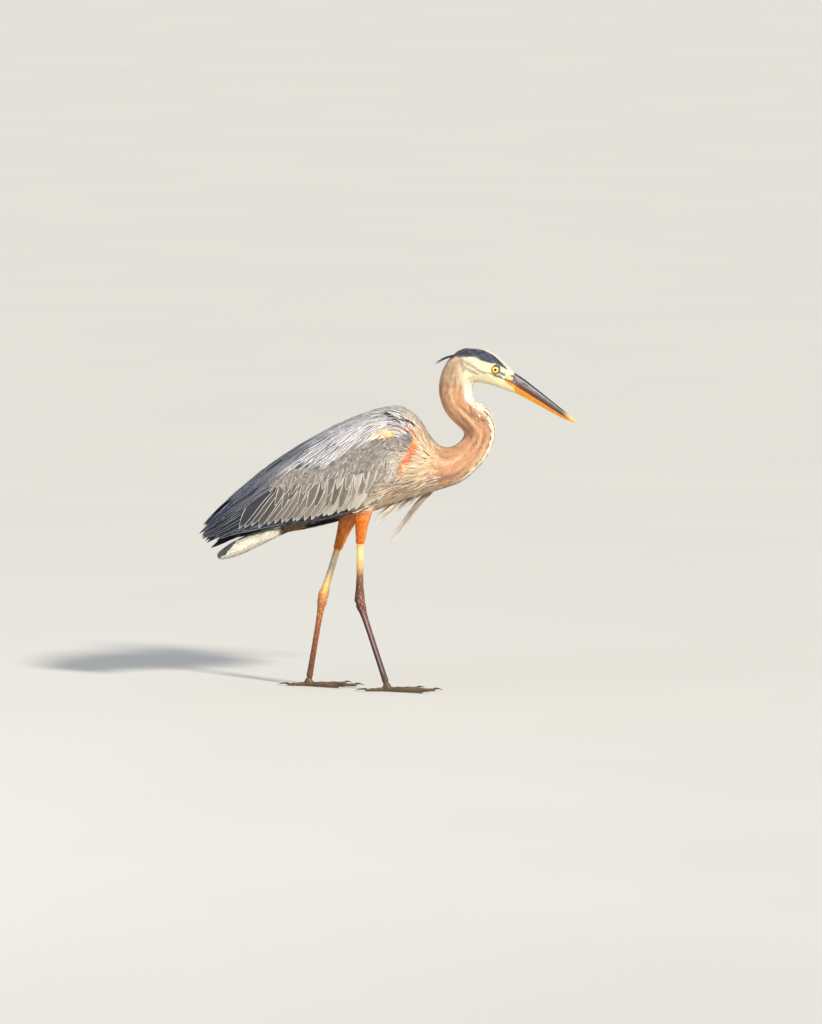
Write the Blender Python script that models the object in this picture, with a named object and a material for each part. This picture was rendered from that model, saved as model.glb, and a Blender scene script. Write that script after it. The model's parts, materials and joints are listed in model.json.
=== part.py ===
"""Great blue heron, a life-size still model of the standing bird in a slow wading step.

Frame: metres, +Z up, the bill points to +X and the bird's right side is at -Y. The origin lies on
the floor, under the middle of the bird's box. The tables below hold millimetres.
"""

import math

import bmesh
import bpy
import numpy as np
from mathutils import Vector

MM = 0.001
FIT = 0.4  # clearance between neighbouring pieces, mm
SIDES = 20  # points round a section of the head, neck or trunk
LIMB_SIDES = 12  # points round a section of a leg or toe

# Each rib is a flat section of the body, seen from the side: the place of its upper or rear edge,
# the place of its lower or front edge, and half its width. They run from the bill to the rump.
BODY_RIBS = {
    "bill root": (243.2, 602.4, 250.8, 560.4, 13.0),
    "lores": (220.0, 625.5, 222.0, 570.0, 18.5),
    "eye": (197.0, 644.0, 195.7, 579.7, 22.5),
    "crown": (163.0, 651.5, 171.5, 584.6, 25.5),
    "hind crown": (137.5, 646.5, 165.5, 582.8, 26.0),
    "nape": (116.5, 628.5, 163.8, 579.8, 25.5),
    "jaw corner": (103.5, 604.0, 162.8, 574.5, 25.0),
    "upper neck": (98.0, 578.0, 162.6, 564.5, 25.0),
    "below the jaw": (100.7, 552.1, 166.8, 550.0, 25.5),
    "ruff": (112.1, 525.8, 179.6, 540.0, 26.0),
    "ruff edge": (128.0, 507.5, 197.6, 524.0, 26.5),
    "front of the bend": (142.5, 494.5, 206.2, 500.0, 27.0),
    "bend": (146.5, 485.5, 204.6, 474.5, 27.5),
    "below the bend": (140.0, 473.5, 194.0, 448.5, 29.0),
    "lower neck": (128.5, 464.6, 172.5, 420.5, 31.5),
    "neck root": (112.0, 460.5, 143.0, 395.5, 36.0),
    "throat pouch": (94.0, 468.5, 112.0, 383.5, 44.0),
    "fore breast": (78.9, 487.2, 87.4, 376.5, 53.0),
    "breast": (64.6, 512.0, 64.6, 369.0, 62.0),
    "shoulder": (43.0, 532.0, 43.0, 362.5, 70.0),
    "hump": (14.0, 541.0, 14.0, 352.5, 76.0),
    "back": (-40.0, 527.5, -40.0, 335.0, 78.0),
    "loin": (-100.0, 502.0, -100.0, 318.0, 74.0),
    "rump": (-152.0, 473.5, -152.0, 306.0, 66.0),
    "tail root": (-200.0, 443.5, -200.0, 298.0, 58.0),
    "folded wings": (-256.0, 401.5, -256.0, 292.0, 46.0),
    "primaries": (-310.0, 353.5, -310.0, 283.0, 29.0),
    "primary tips": (-346.0, 318.0, -346.0, 276.5, 14.0),
    "wing tips": (-357.5, 299.5, -357.5, 281.0, 6.0),
}
RIB_NAMES = list(BODY_RIBS)
RIB_STEPS = 16  # points that the spline adds between two ribs
FULLNESS = 0.78  # under 1, the sections are fuller than an ellipse
SHOULDER_LIFT = 0.12  # how far above its middle the trunk is widest, as a share of half its depth

# Where the body is parted, in ribs from the bill, and the share of a rib left open there.
HEAD_END, UPPER_END, MIDDLE_END, LOWER_END = 6.6, 9.4, 12.6, 15.8
CUT = 0.035
TRUNK_END = RIB_NAMES.index("tail root")

# Folded wing: length along X, and the heights of its upper and lower edge from wrist to tip.
WRIST_X, WING_TIP_X = 58.0, -357.5
WING_TOP = ((58, 489), (46, 500), (20, 495), (-80, 462), (-150, 446), (-192, 438), (-206, 437))
WING_LOW = ((58, 481), (49, 455), (30, 413), (2, 377), (-31, 353), (-89, 331), (-146, 322.5),
            (-200, 314.5), (-258, 308), (-313, 288), (-344, 277.5), (-357.5, 281.5))
WING_ARM, WING_HAND = 9.0, 4.0  # thickness near the wrist and near the tip
WING_EDGE = 0.9
WING_PROUD = 2.0
WING_ROWS, WING_COLUMNS = 18, 9
PARTING = 0.5  # distance of a wing's upper edge from the bird's middle plane

# Tail: folded quills with the undertail coverts, from inside the rump to the tip.
TAIL_ROOT, TAIL_TIP = (-172.0, 321.0), (-323.0, 251.0)
TAIL_HALF_WIDTHS = (17.0, 24.0, 28.0, 29.0, 26.0, 16.0)
TAIL_HALF_DEPTHS = (12.0, 12.5, 13.0, 14.0, 13.5, 5.5)
TAIL_RINGS, TAIL_SIDES = 10, 14

EYE_CENTRE, EYE_RADIUS = (205.5, 13.0, 610.0), 11.0

# Bill: heights along it of the ridge, the mouth line and the keel, and half its width.
BILL_RIDGE = ((243.6, 602.1), (300.0, 559.6), (346.0, 522.6), (360.5, 508.6))
BILL_MOUTH = ((247.8, 575.6), (296.0, 545.0), (338.0, 518.2), (360.3, 508.0))
BILL_KEEL = ((251.2, 560.5), (292.0, 538.6), (334.0, 515.8), (360.1, 507.5))
BILL_HALF_WIDTHS = (12.6, 9.2, 4.6, 0.7)

# Legs, as (x, z) down the leg, the distance from the middle plane, and half sizes fore-and-aft and
# across. The right leg is the leading one.
THIGH_TOP_DROP = 62.0
LEGS = {
    "right": {
        "side": -1,
        "hip": (-43.0, 382.0, 33.0),
        "feather_end": (-51.0, 279.0, 34.0),
        "ankle": (-52.0, 170.0, 36.0),
        "toe_joint": (0.0, 10.3, 46.0),
        "heading": 0.0,
    },
    "left": {
        "side": 1,
        "hip": (-60.0, 366.0, 33.0),
        "feather_end": (-95.0, 262.0, 34.0),
        "ankle": (-122.5, 172.0, 36.0),
        "toe_joint": (-149.5, 10.3, 51.6),
        "heading": -4.0,
    },
}
THIGH_FORE_AFT, THIGH_ACROSS = (25.0, 20.0, 12.5, 8.6), (17.0, 14.5, 10.0, 7.4)
SHANK_FORE_AFT, SHANK_ACROSS = (6.4, 6.2, 6.6, 9.4, 10.6), (5.6, 5.4, 5.6, 6.8, 7.6)
TARSUS_FORE_AFT, TARSUS_ACROSS = (7.4, 10.2, 7.6, 6.0, 5.8, 6.0, 6.6), (5.6, 7.4, 5.6, 4.6, 4.4, 4.8, 6.2)
SHANK_STATIONS = (0.0, 0.3, 0.66, 0.88, 1.0)
TARSUS_STATIONS = (0.0, 0.03, 0.11, 0.26, 0.6, 0.88, 1.0)

# Toes: length, angle from the heading, radius at the root, and length of the claw.
TOES = {
    "middle": (92.0, 0.0, 5.0, 15.0),
    "inner": (72.0, -33.0, 4.7, 14.0),
    "outer": (80.0, 31.0, 4.6, 13.0),
    "hind": (42.0, 176.0, 4.6, 19.0),
}
TOE_RINGS = 7
TOE_SIDES = 8
TOE_TAPER = 0.62
TOE_SQUASH = 0.86  # height of the toe's centre, as a share of its radius
CLAW_SIDES = 8
CLAW_RINGS = 5
CLAW_DROP = 0.6

# Plumes. The breast plumes hang from under the breast, and the crest starts behind the crown. Each
# row: root, middle and tip of the midline, half depth at the root, and half width at the root.
BREAST_PLUMES = (
    ((90.0, 0.0, 384.0), (53.0, 0.0, 346.0), (5.0, 0.0, 281.5), 8.0, 6.0),
    ((66.0, 8.0, 368.0), (47.0, 9.0, 342.0), (38.0, 10.0, 312.0), 4.5, 3.5),
    ((40.0, -17.0, 372.0), (8.0, -20.0, 343.0), (-21.0, -22.0, 319.0), 7.0, 5.0),
    ((40.0, 17.0, 372.0), (8.0, 20.0, 345.0), (-18.0, 22.0, 322.0), 7.0, 5.0),
    ((58.0, -4.0, 374.0), (34.0, -5.0, 355.0), (7.0, -6.0, 340.0), 6.0, 4.5),
)
CREST = ((127.0, 6.5, 637.5), (109.0, 7.5, 631.0), (94.0, 8.5, 621.0), 1.9, 2.0)
PLUME_SIDES, PLUME_RINGS = 6, 7

COLOURS = {
    "slate plumage": ((0.36, 0.38, 0.42), 0.85),
    "taupe plumage": ((0.55, 0.43, 0.35), 0.85),
    "white plumage": ((0.85, 0.82, 0.74), 0.85),
    "rufous plumage": ((0.62, 0.25, 0.07), 0.85),
    "black plumage": ((0.03, 0.04, 0.07), 0.7),
    "bill horn": ((0.80, 0.52, 0.10), 0.4),
    "dark horn": ((0.14, 0.12, 0.11), 0.4),
    "leg scales": ((0.25, 0.17, 0.12), 0.55),
    "eye": ((0.95, 0.75, 0.05), 0.1),
}


def clear_scene():
    for obj in list(bpy.data.objects):
        bpy.data.objects.remove(obj)


def material(name):
    found = bpy.data.materials.get(name)
    if found:
        return found
    made = bpy.data.materials.new(name)
    made.use_nodes = True
    shader = made.node_tree.nodes["Principled BSDF"]
    colour, roughness = COLOURS[name]
    shader.inputs["Base Color"].default_value = (*colour, 1.0)
    shader.inputs["Roughness"].default_value = roughness
    return made


def spline(rows, steps):
    """A smooth curve through the rows, with steps points for each span between two rows."""
    rows = np.array(rows, float)
    padded = np.vstack([2 * rows[0] - rows[1], rows, 2 * rows[-1] - rows[-2]])
    made = []
    for i in range(len(rows) - 1):
        before, start, end, after = padded[i : i + 4]
        for t in np.arange(steps) / steps:
            made.append(
                0.5
                * (
                    2 * start
                    + (end - before) * t
                    + (2 * before - 5 * start + 4 * end - after) * t**2
                    + (3 * start - before - 3 * end + after) * t**3
                )
            )
    return np.vstack([made, rows[-1]])


def along(rows, count):
    """count rows, spread evenly by index over a smooth curve through the given ones."""
    curve = spline(rows, 20)
    wanted = np.linspace(0, len(curve) - 1, count)
    return np.stack([np.interp(wanted, np.arange(len(curve)), c) for c in curve.T], 1)


RIB_CURVE = spline(list(BODY_RIBS.values()), RIB_STEPS)


def rib_at(place):
    """The rib at a place counted in ribs from the bill."""
    at = place * RIB_STEPS
    return np.array([np.interp(at, np.arange(len(RIB_CURVE)), c) for c in RIB_CURVE.T])


def rib_at_x(x):
    """The rib behind the breast at this X, where the ribs stand upright."""
    start = RIB_NAMES.index("breast") * RIB_STEPS
    behind = RIB_CURVE[start:]
    return np.array([np.interp(-x, -behind[:, 0], c) for c in behind.T])


def lift_of(x):
    """How high the widest place lies: raised on the trunk, central on the neck and head."""
    return SHOULDER_LIFT * float(np.clip((110.0 - x) / 60.0, 0, 1))


def rib_point(rib, angle, swell=0.0):
    """A point on a rib at an angle from its upper edge, pushed out by swell."""
    upper, lower = np.array([rib[0], 0.0, rib[1]]), np.array([rib[2], 0.0, rib[3]])
    centre, reach = (upper + lower) / 2, (upper - lower) / 2
    sine = math.sin(angle)
    up = math.cos(angle) + lift_of(centre[0]) * sine**2
    across = rib[4] * math.copysign(abs(sine) ** FULLNESS, sine)
    point = reach * up + np.array([0.0, across, 0.0])
    return centre + point * (1 + swell / np.linalg.norm(point))


def rib_ring(rib, scale=1.0, sides=SIDES):
    centre = np.array([(rib[0] + rib[2]) / 2, 0.0, (rib[1] + rib[3]) / 2])
    ring = [rib_point(rib, 2 * math.pi * k / sides) for k in range(sides)]
    return [centre + (p - centre) * scale for p in ring]


def solid(name, vertices, faces, finish):
    """A mesh object from millimetres, with its faces turned outwards."""
    mesh = bpy.data.meshes.new(name)
    mesh.from_pydata([Vector(v) * MM for v in vertices], [], faces)
    shaped = bmesh.new()
    shaped.from_mesh(mesh)
    bmesh.ops.recalc_face_normals(shaped, faces=shaped.faces)
    bmesh.ops.triangulate(shaped, faces=shaped.faces)
    shaped.to_mesh(mesh)
    shaped.free()
    mesh.materials.append(material(finish))
    mesh.shade_smooth()
    made = bpy.data.objects.new(name, mesh)
    bpy.context.scene.collection.objects.link(made)
    return made


def loft(name, rings, finish):
    """A closed body through rings that all have the same number of points."""
    sides = len(rings[0])
    vertices = [p for ring in rings for p in ring]
    faces = [list(range(sides)), [len(vertices) - sides + k for k in range(sides)]]
    for r in range(len(rings) - 1):
        for k in range(sides):
            after = (k + 1) % sides
            low = r * sides
            faces.append((low + k, low + after, low + sides + after, low + sides + k))
    return solid(name, vertices, faces, finish)


def body_length(name, start, end, rings, finish, rounded=()):
    """The body between two places counted in ribs, with smaller rings added to round its end."""
    places = np.linspace(start + CUT / 2, end - CUT / 2, rings)
    made = [rib_ring(rib_at(p)) for p in places]
    for step, scale in rounded:
        end_ring = np.array(rib_ring(rib_at(end - CUT / 2), scale))
        made.append(end_ring + np.array([-step, 0.0, 0.0]))
    return loft(name, made, finish)


def subtract(target, cutters):
    for cutter in cutters:
        cutter.hide_render = True
        cutter.display_type = "WIRE"
        cut = target.modifiers.new("fit of " + cutter.name, "BOOLEAN")
        cut.operation = "DIFFERENCE"
        cut.solver = "MANIFOLD"
        cut.object = cutter


def angle_at_height(rib, height):
    """The angle from a rib's upper edge at which its outline has this height."""
    angles = np.linspace(0, math.pi, 181)
    heights = np.array([rib_point(rib, a)[2] for a in angles])
    return float(np.interp(-height, -heights, angles))


def height_at(profile, x):
    curve = np.array(profile, float)
    return float(np.interp(-x, -curve[:, 0], curve[:, 1]))


def wing(name, side, finish, grow=0.0):
    """A folded wing: a curved blade over the flank. grow makes the cutter that clears it, which
    reaches well outside so that it leaves no flakes of the trunk."""
    share = np.linspace(0, 1, WING_ROWS)
    rows = WRIST_X + (WING_TIP_X - WRIST_X) * (0.35 * share**2 + 0.65 * share)
    outer, inner = [], []
    for x in rows:
        rib = rib_at_x(x)
        top = angle_at_height(rib, height_at(WING_TOP, x))
        low = angle_at_height(rib, max(height_at(WING_LOW, x), rib[3] + 1.0))
        toward_tip = (WRIST_X - x) / (WRIST_X - WING_TIP_X)
        thick = WING_ARM + (WING_HAND - WING_ARM) * toward_tip**0.7
        ends = min(1.0, (WRIST_X - x) / 40 + 0.12, (x - WING_TIP_X) / 50 + 0.25)
        over, under = [], []
        for k in range(WING_COLUMNS):
            f = k / (WING_COLUMNS - 1)
            crown = math.sqrt(max(0.0, 1 - (2 * f - 1) ** 4)) * ends
            angle = top + (low - top) * f
            up = WING_PROUD * crown + 6 * grow
            down = WING_EDGE + (thick - WING_EDGE) * crown + grow
            for points, swell in ((over, up), (under, -down)):
                p = rib_point(rib, angle, swell)
                p[1] = max(p[1], PARTING - grow)
                points.append(p)
        # The cutter also reaches a little past the blade's two long edges.
        for points in (over, under):
            for end, beside in ((0, 1), (-1, -2)):
                off = points[end] - points[beside]
                points[end] = points[end] + off / np.linalg.norm(off) * grow
        outer.append(over)
        inner.append(under)
    mirror = np.array([1.0, side, 1.0])
    rings = [np.array(over + under[::-1]) * mirror for over, under in zip(outer, inner)]
    rings[0] = rings[0] + np.array([grow, 0.0, 0.0])
    rings[-1] = rings[-1] - np.array([grow, 0.0, 0.0])
    return loft(name, rings, finish)


def oval_ring(centre, ahead, fore_aft, across, sides=LIMB_SIDES):
    """An oval across a limb that runs along ahead. fore_aft is measured in the XZ plane."""
    ahead = np.array(ahead, float)
    ahead /= np.linalg.norm(ahead)
    outward = np.array([0.0, 1.0, 0.0])
    outward -= ahead * float(outward @ ahead)
    outward /= np.linalg.norm(outward)
    forward = np.cross(outward, ahead)
    turns = [2 * math.pi * k / sides for k in range(sides)]
    return [
        np.array(centre) + forward * fore_aft * math.cos(a) + outward * across * math.sin(a)
        for a in turns
    ]


def tail(name, finish, grow=0.0):
    root = np.array([TAIL_ROOT[0], 0.0, TAIL_ROOT[1]])
    tip = np.array([TAIL_TIP[0], 0.0, TAIL_TIP[1]])
    sizes = along(np.column_stack([TAIL_HALF_WIDTHS, TAIL_HALF_DEPTHS]), TAIL_RINGS)
    rings = []
    for f, (width, depth) in zip(np.linspace(0, 1, TAIL_RINGS), sizes):
        centre = root + (tip - root) * f
        rings.append(oval_ring(centre, tip - root, depth + grow, width + grow, TAIL_SIDES))
    return loft(name, rings, finish)


def limb(name, start, end, stations, fore_aft, across, finish, grow=0.0, rings=None):
    start, end = np.array(start), np.array(end)
    table = np.column_stack([stations, fore_aft, across])
    if rings:
        table = along(table, rings)
    made = [
        oval_ring(start + (end - start) * f, end - start, a + grow, b + grow)
        for f, a, b in table
    ]
    return loft(name, made, finish)


def leg_point(leg, joint):
    x, z, out = leg[joint]
    return np.array([x, leg["side"] * out, z])


def thigh(name, leg, finish, grow=0.0):
    return limb(
        name, leg_point(leg, "hip"), leg_point(leg, "feather_end"), np.linspace(0, 1, 4),
        THIGH_FORE_AFT, THIGH_ACROSS, finish, grow, rings=7,
    )


def shorten(start, end, gap):
    """The point that lies gap short of end, coming from start."""
    way = np.array(end) - np.array(start)
    return np.array(end) - way / np.linalg.norm(way) * gap


def toe_line(leg, toe):
    """Where a toe starts, its direction on the floor, and its sizes."""
    length, turn, radius, claw = TOES[toe]
    # The inner toe points towards the bird's middle plane on both feet.
    angle = math.radians(leg["side"] * turn + leg["heading"] * leg["side"])
    ahead = np.array([math.cos(angle), math.sin(angle), 0.0])
    joint = leg_point(leg, "toe_joint")
    start = np.array([joint[0], joint[1], radius * TOE_SQUASH])
    return start, ahead, length, radius, claw


def toe_solid(name, leg, toe, finish):
    """A toe with a swelling at each joint. Its underside is flat on the floor."""
    start, ahead, length, radius, _ = toe_line(leg, toe)
    rings = []
    for f in np.linspace(0, 1, TOE_RINGS):
        size = radius * (1 - (1 - TOE_TAPER) * f) * (1 + 0.08 * math.cos(f * 6 * math.pi))
        centre = start + ahead * length * f
        centre[2] = size * TOE_SQUASH
        aside = np.cross([0.0, 0.0, 1.0], ahead)
        ring = []
        for k in range(TOE_SIDES):
            a = 2 * math.pi * (k + 0.5) / TOE_SIDES
            point = centre + aside * size * math.sin(a) + np.array([0, 0, size * math.cos(a)])
            point[2] = max(point[2], 0.0)
            ring.append(point)
        rings.append(ring)
    return loft(name, rings, finish)


def claw(name, leg, toe, finish):
    start, ahead, length, radius, claw_length = toe_line(leg, toe)
    base = start + ahead * (length + FIT)
    size = radius * TOE_TAPER
    height = size * 1.15
    rings = []
    for f in np.linspace(0, 1, CLAW_RINGS):
        centre = base + ahead * claw_length * f
        thick = size * (0.9 - 0.82 * f)
        centre[2] = height * (1 - 0.6 * f**2) + 0.2 + size * 0.35 * math.sin(math.pi * f)
        rings.append(oval_ring(centre, ahead, thick * 0.75, thick * 0.6, CLAW_SIDES))
    for ring in rings:
        for point in ring:
            point[2] = max(point[2], 0.25)
    return loft(name, rings, finish)


def foot(name, leg, finish):
    """Four toes and the pad under the leg, joined into one body."""
    joint = leg_point(leg, "toe_joint")
    ankle = leg_point(leg, "ankle")
    pad_top = shorten(ankle, joint, 3.0)
    pad_rings = [
        oval_ring(joint + np.array([0, 0, dz]), (0.0, 0.0, -1.0), 8.2 * s, 8.0 * s, 12)
        for dz, s in ((4.6, 0.62), (2.0, 0.94), (-3.0, 1.0), (-7.0, 0.86), (-10.3, 0.62))
    ]
    pad_rings[0] = [p + (pad_top - joint) * 0.2 for p in pad_rings[0]]
    made = loft(name, pad_rings, finish)
    for toe in TOES:
        part = toe_solid(name + "_" + toe, leg, toe, finish)
        part.hide_render = True
        part.display_type = "WIRE"
        join = made.modifiers.new("join " + toe, "BOOLEAN")
        join.operation = "UNION"
        join.solver = "MANIFOLD"
        join.object = part
    return made


def bill_half(name, edge, mouth_gap, upward, finish):
    """The upper or lower half of the bill, from its outer edge to the mouth line."""
    table = np.column_stack([np.array(edge), np.array(BILL_MOUTH), BILL_HALF_WIDTHS])
    rings = []
    for ex, ez, mx, mz, width in along(table, 12):
        outer, inner = np.array([ex, 0.0, ez]), np.array([mx, 0.0, mz + upward * mouth_gap])
        ring = []
        for k in range(9):
            # An arch from one cutting edge over the ridge to the other.
            a = math.pi * k / 8
            rise = math.sin(a) ** 0.8
            point = inner + (outer - inner) * rise
            point[1] = width * math.cos(a) * (1 - 0.25 * rise)
            ring.append(point)
        rings.append(ring)
    return loft(name, rings, finish)


def plume(name, shape, finish, side=1, grow=0.0):
    """A plume: a narrow curved wisp that ends in a point. grow makes the cutter for its root."""
    mirror = np.array([1.0, side, 1.0])
    line = along(np.array(shape[:3], float) * mirror, PLUME_RINGS)
    rings = []
    for i, centre in enumerate(line):
        f = i / (PLUME_RINGS - 1)
        ahead = line[min(i + 1, PLUME_RINGS - 1)] - line[max(i - 1, 0)]
        taper = (1 - f) ** 0.8
        depth, width = 0.45 + shape[3] * taper + grow, 0.45 + shape[4] * taper + grow
        rings.append(oval_ring(centre, ahead, depth, width, PLUME_SIDES))
    return loft(name, rings, finish)


def build_head():
    head = body_length("head", 0, HEAD_END, 12, "white plumage")
    sockets = []
    for label, side in (("right", -1), ("left", 1)):
        centre = np.array([EYE_CENTRE[0], side * EYE_CENTRE[1], EYE_CENTRE[2]])
        eye_ball("eye_" + label, centre, EYE_RADIUS)
        sockets.append(eye_ball("socket_" + label, centre, EYE_RADIUS + FIT))
        plume("crest_plume_" + label, CREST, "black plumage", side)
        sockets.append(plume("crest_socket_" + label, CREST, "black plumage", side, FIT))
    subtract(head, sockets)


def eye_ball(name, centre, radius):
    shaped = bmesh.new()
    bmesh.ops.create_uvsphere(shaped, u_segments=12, v_segments=8, radius=radius)
    # The poles face sideways, where the pupil is.
    turned = [(v.co.x, v.co.z, -v.co.y) for v in shaped.verts]
    faces = [[v.index for v in f.verts] for f in shaped.faces]
    shaped.free()
    return solid(name, [np.array(v) + centre for v in turned], faces, "eye")


def build_bill():
    bill_half("bill_upper", BILL_RIDGE, FIT / 2, 1, "bill horn")
    bill_half("bill_lower", BILL_KEEL, FIT / 2, -1, "bill horn")


def build_neck():
    body_length("neck_upper", HEAD_END, UPPER_END, 6, "taupe plumage")
    body_length("neck_middle", UPPER_END, MIDDLE_END, 7, "taupe plumage")
    body_length("neck_lower", MIDDLE_END, LOWER_END, 7, "taupe plumage")


def build_legs():
    """Returns the cutters that clear the thighs."""
    cutters = []
    for label, leg in LEGS.items():
        feathered = thigh("thigh_" + label, leg, "rufous plumage")
        blade = wing("wing_clearance_thigh_" + label, leg["side"], "slate plumage", grow=FIT)
        subtract(feathered, [blade])
        cutters.append(thigh("thigh_socket_" + label, leg, "rufous plumage", grow=FIT))
        hem, ankle = leg_point(leg, "feather_end"), leg_point(leg, "ankle")
        joint = leg_point(leg, "toe_joint")
        limb(
            "shank_" + label, shorten(ankle, hem, 1.2), shorten(hem, ankle, FIT),
            SHANK_STATIONS, SHANK_FORE_AFT, SHANK_ACROSS, "leg scales", rings=8,
        )
        knuckle = shorten(joint, ankle, 2.8)
        limb(
            "tarsus_" + label, knuckle, shorten(ankle, joint, 8.5),
            TARSUS_STATIONS, TARSUS_FORE_AFT, TARSUS_ACROSS, "leg scales", rings=10,
        )
        foot("foot_" + label, leg, "leg scales")
        for toe in TOES:
            claw("claw_" + label + "_" + toe, leg, toe, "dark horn")
    return cutters


def build_trunk(thigh_cutters):
    trunk = body_length(
        "trunk", LOWER_END, TRUNK_END, 14, "slate plumage", rounded=((4.0, 0.9), (7.0, 0.7)),
    )
    cutters = [tail("tail_socket", "slate plumage", grow=FIT)]
    for label, side in (("right", -1), ("left", 1)):
        wing("wing_" + label, side, "slate plumage")
        cutters.append(wing("wing_clearance_" + label, side, "slate plumage", grow=FIT))
    tail("tail", "slate plumage")
    for i, shape in enumerate(BREAST_PLUMES):
        plume(f"breast_plume_{i + 1}", shape, "white plumage")
        cutters.append(plume(f"plume_socket_{i + 1}", shape, "white plumage", grow=FIT))
    subtract(trunk, cutters + thigh_cutters)


def centre_on_floor():
    """Moves the whole bird so that the origin is on the floor, under the middle of its box."""
    bpy.context.view_layer.update()
    shown = [o for o in bpy.data.objects if o.type == "MESH" and not o.hide_render]
    corners = np.array([v.co for o in shown for v in o.data.vertices])
    middle = (corners.min(0) + corners.max(0)) / 2
    shift = Vector((-middle[0], -middle[1], 0.0))
    for obj in bpy.data.objects:
        obj.location = shift


def main():
    clear_scene()
    build_head()
    build_bill()
    build_neck()
    build_trunk(build_legs())
    centre_on_floor()


main()
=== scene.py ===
# %% [markdown]
# # A great blue heron, from outline to plumage
# The imported model gives the bird's outline: the closed surface that its coat makes in life. This
# script puts a skin just inside that outline and covers it with feathers, then dresses the bill,
# the eyes and the legs. The frame comes first.

# %% Load the frame
import json
import math

import bmesh
import bpy
import numpy as np
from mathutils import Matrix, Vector
from mathutils.bvhtree import BVHTree

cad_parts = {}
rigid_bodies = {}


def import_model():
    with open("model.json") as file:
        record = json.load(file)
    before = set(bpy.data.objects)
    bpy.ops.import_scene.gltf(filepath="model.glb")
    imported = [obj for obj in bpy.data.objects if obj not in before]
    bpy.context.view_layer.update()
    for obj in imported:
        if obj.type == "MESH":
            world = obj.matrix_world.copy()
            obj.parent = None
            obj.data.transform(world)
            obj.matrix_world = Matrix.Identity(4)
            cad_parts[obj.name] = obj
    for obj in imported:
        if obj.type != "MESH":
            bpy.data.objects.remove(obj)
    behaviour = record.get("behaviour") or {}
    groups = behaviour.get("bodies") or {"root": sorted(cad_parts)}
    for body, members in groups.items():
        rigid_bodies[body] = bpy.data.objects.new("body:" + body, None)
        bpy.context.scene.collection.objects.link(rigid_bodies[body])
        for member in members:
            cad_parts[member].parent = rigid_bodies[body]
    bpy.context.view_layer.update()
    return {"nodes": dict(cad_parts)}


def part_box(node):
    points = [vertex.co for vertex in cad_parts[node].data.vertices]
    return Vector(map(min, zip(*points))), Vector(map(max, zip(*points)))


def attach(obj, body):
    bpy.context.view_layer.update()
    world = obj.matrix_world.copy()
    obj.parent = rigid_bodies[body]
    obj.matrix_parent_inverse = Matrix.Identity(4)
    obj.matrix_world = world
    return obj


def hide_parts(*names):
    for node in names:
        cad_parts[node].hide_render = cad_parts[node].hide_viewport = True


for leftover in list(bpy.data.objects):
    bpy.data.objects.remove(leftover)
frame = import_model()
MM = 0.001
HELPERS = []


# %% [markdown]
# ## Small tools
# Meshes travel between Blender and numpy many times here. These few functions read a mesh into
# arrays, make an object from arrays, and add named attributes to it. An attribute is a value kept
# on each point, and Geometry Nodes and materials can both read it by name.

# %% Meshes and arrays
def read(rows, field):
    """One vector for each row of a Blender list, as an array."""
    flat = np.empty(len(rows) * 3, np.float32)
    rows.foreach_get(field, flat)
    return flat.reshape(-1, 3).astype(float)


def points_of(mesh):
    return read(mesh.vertices, "co")


def normals_of(mesh):
    return read(mesh.vertex_normals, "vector")


def move_points(mesh, points):
    mesh.vertices.foreach_set("co", points.astype(np.float32).ravel())
    mesh.update()


def triangles_in(mesh):
    return sum(len(p.vertices) - 2 for p in mesh.polygons)


def give(mesh, name, kind, values):
    """Adds an attribute with one value for each point. kind is FLOAT, FLOAT_VECTOR or FLOAT_COLOR."""
    layer = mesh.attributes.get(name) or mesh.attributes.new(name, kind, "POINT")
    field = {"FLOAT": "value", "FLOAT_VECTOR": "vector", "FLOAT_COLOR": "color"}[kind]
    layer.data.foreach_set(field, np.ascontiguousarray(values, np.float32).ravel())


def put_away(piece):
    """A helper isn't rendered, and it's removed at the end."""
    HELPERS.append(piece)
    piece.hide_render = True


def made_object(name, mesh, helper=False):
    piece = bpy.data.objects.new(name, mesh)
    bpy.context.scene.collection.objects.link(piece)
    if helper:
        put_away(piece)
    return piece


def mesh_from(name, vertices, faces, edges=()):
    mesh = bpy.data.meshes.new(name)
    mesh.from_pydata(np.asarray(vertices, float).tolist(), list(edges), [list(f) for f in faces])
    mesh.validate()
    mesh.shade_smooth()
    return mesh


def mesh_of(name, shaped):
    """The mesh of a bmesh, which is freed."""
    mesh = bpy.data.meshes.new(name)
    shaped.to_mesh(mesh)
    shaped.free()
    return mesh


def side_finder(mesh):
    """A search tree that finds the nearest place on a mesh, or where a ray meets it."""
    return BVHTree.FromPolygons(points_of(mesh).tolist(), [tuple(p.vertices) for p in mesh.polygons])


def settled(piece):
    """Turns an object with live modifiers into one plain mesh and drops the modifiers."""
    bpy.context.view_layer.update()
    graph = bpy.context.evaluated_depsgraph_get()
    mesh = bpy.data.meshes.new_from_object(piece.evaluated_get(graph), depsgraph=graph)
    piece.modifiers.clear()
    piece.data = mesh
    mesh.name = piece.name
    return piece


def enrol(piece, slot, *nodes):
    """Puts a piece on the frame's root body and hides the nodes that it stands for. slot is not used."""
    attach(piece, "root")
    if nodes:
        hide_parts(*nodes)


def linear(*srgb):
    """A colour given as it looks on screen, 0 to 255, as the linear value a shader works with."""
    value = np.array(srgb, float) / 255
    return np.where(value < 0.04045, value / 12.92, ((value + 0.055) / 1.055) ** 2.4)

# %% [markdown]
# ## The line through the bird
# Feathers lie from the bill towards the tail, so much of this script asks how far along the bird
# a point is and which way the body runs there. One smooth line through the middle of the head,
# neck and trunk answers both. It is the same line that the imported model's sections follow.

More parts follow.
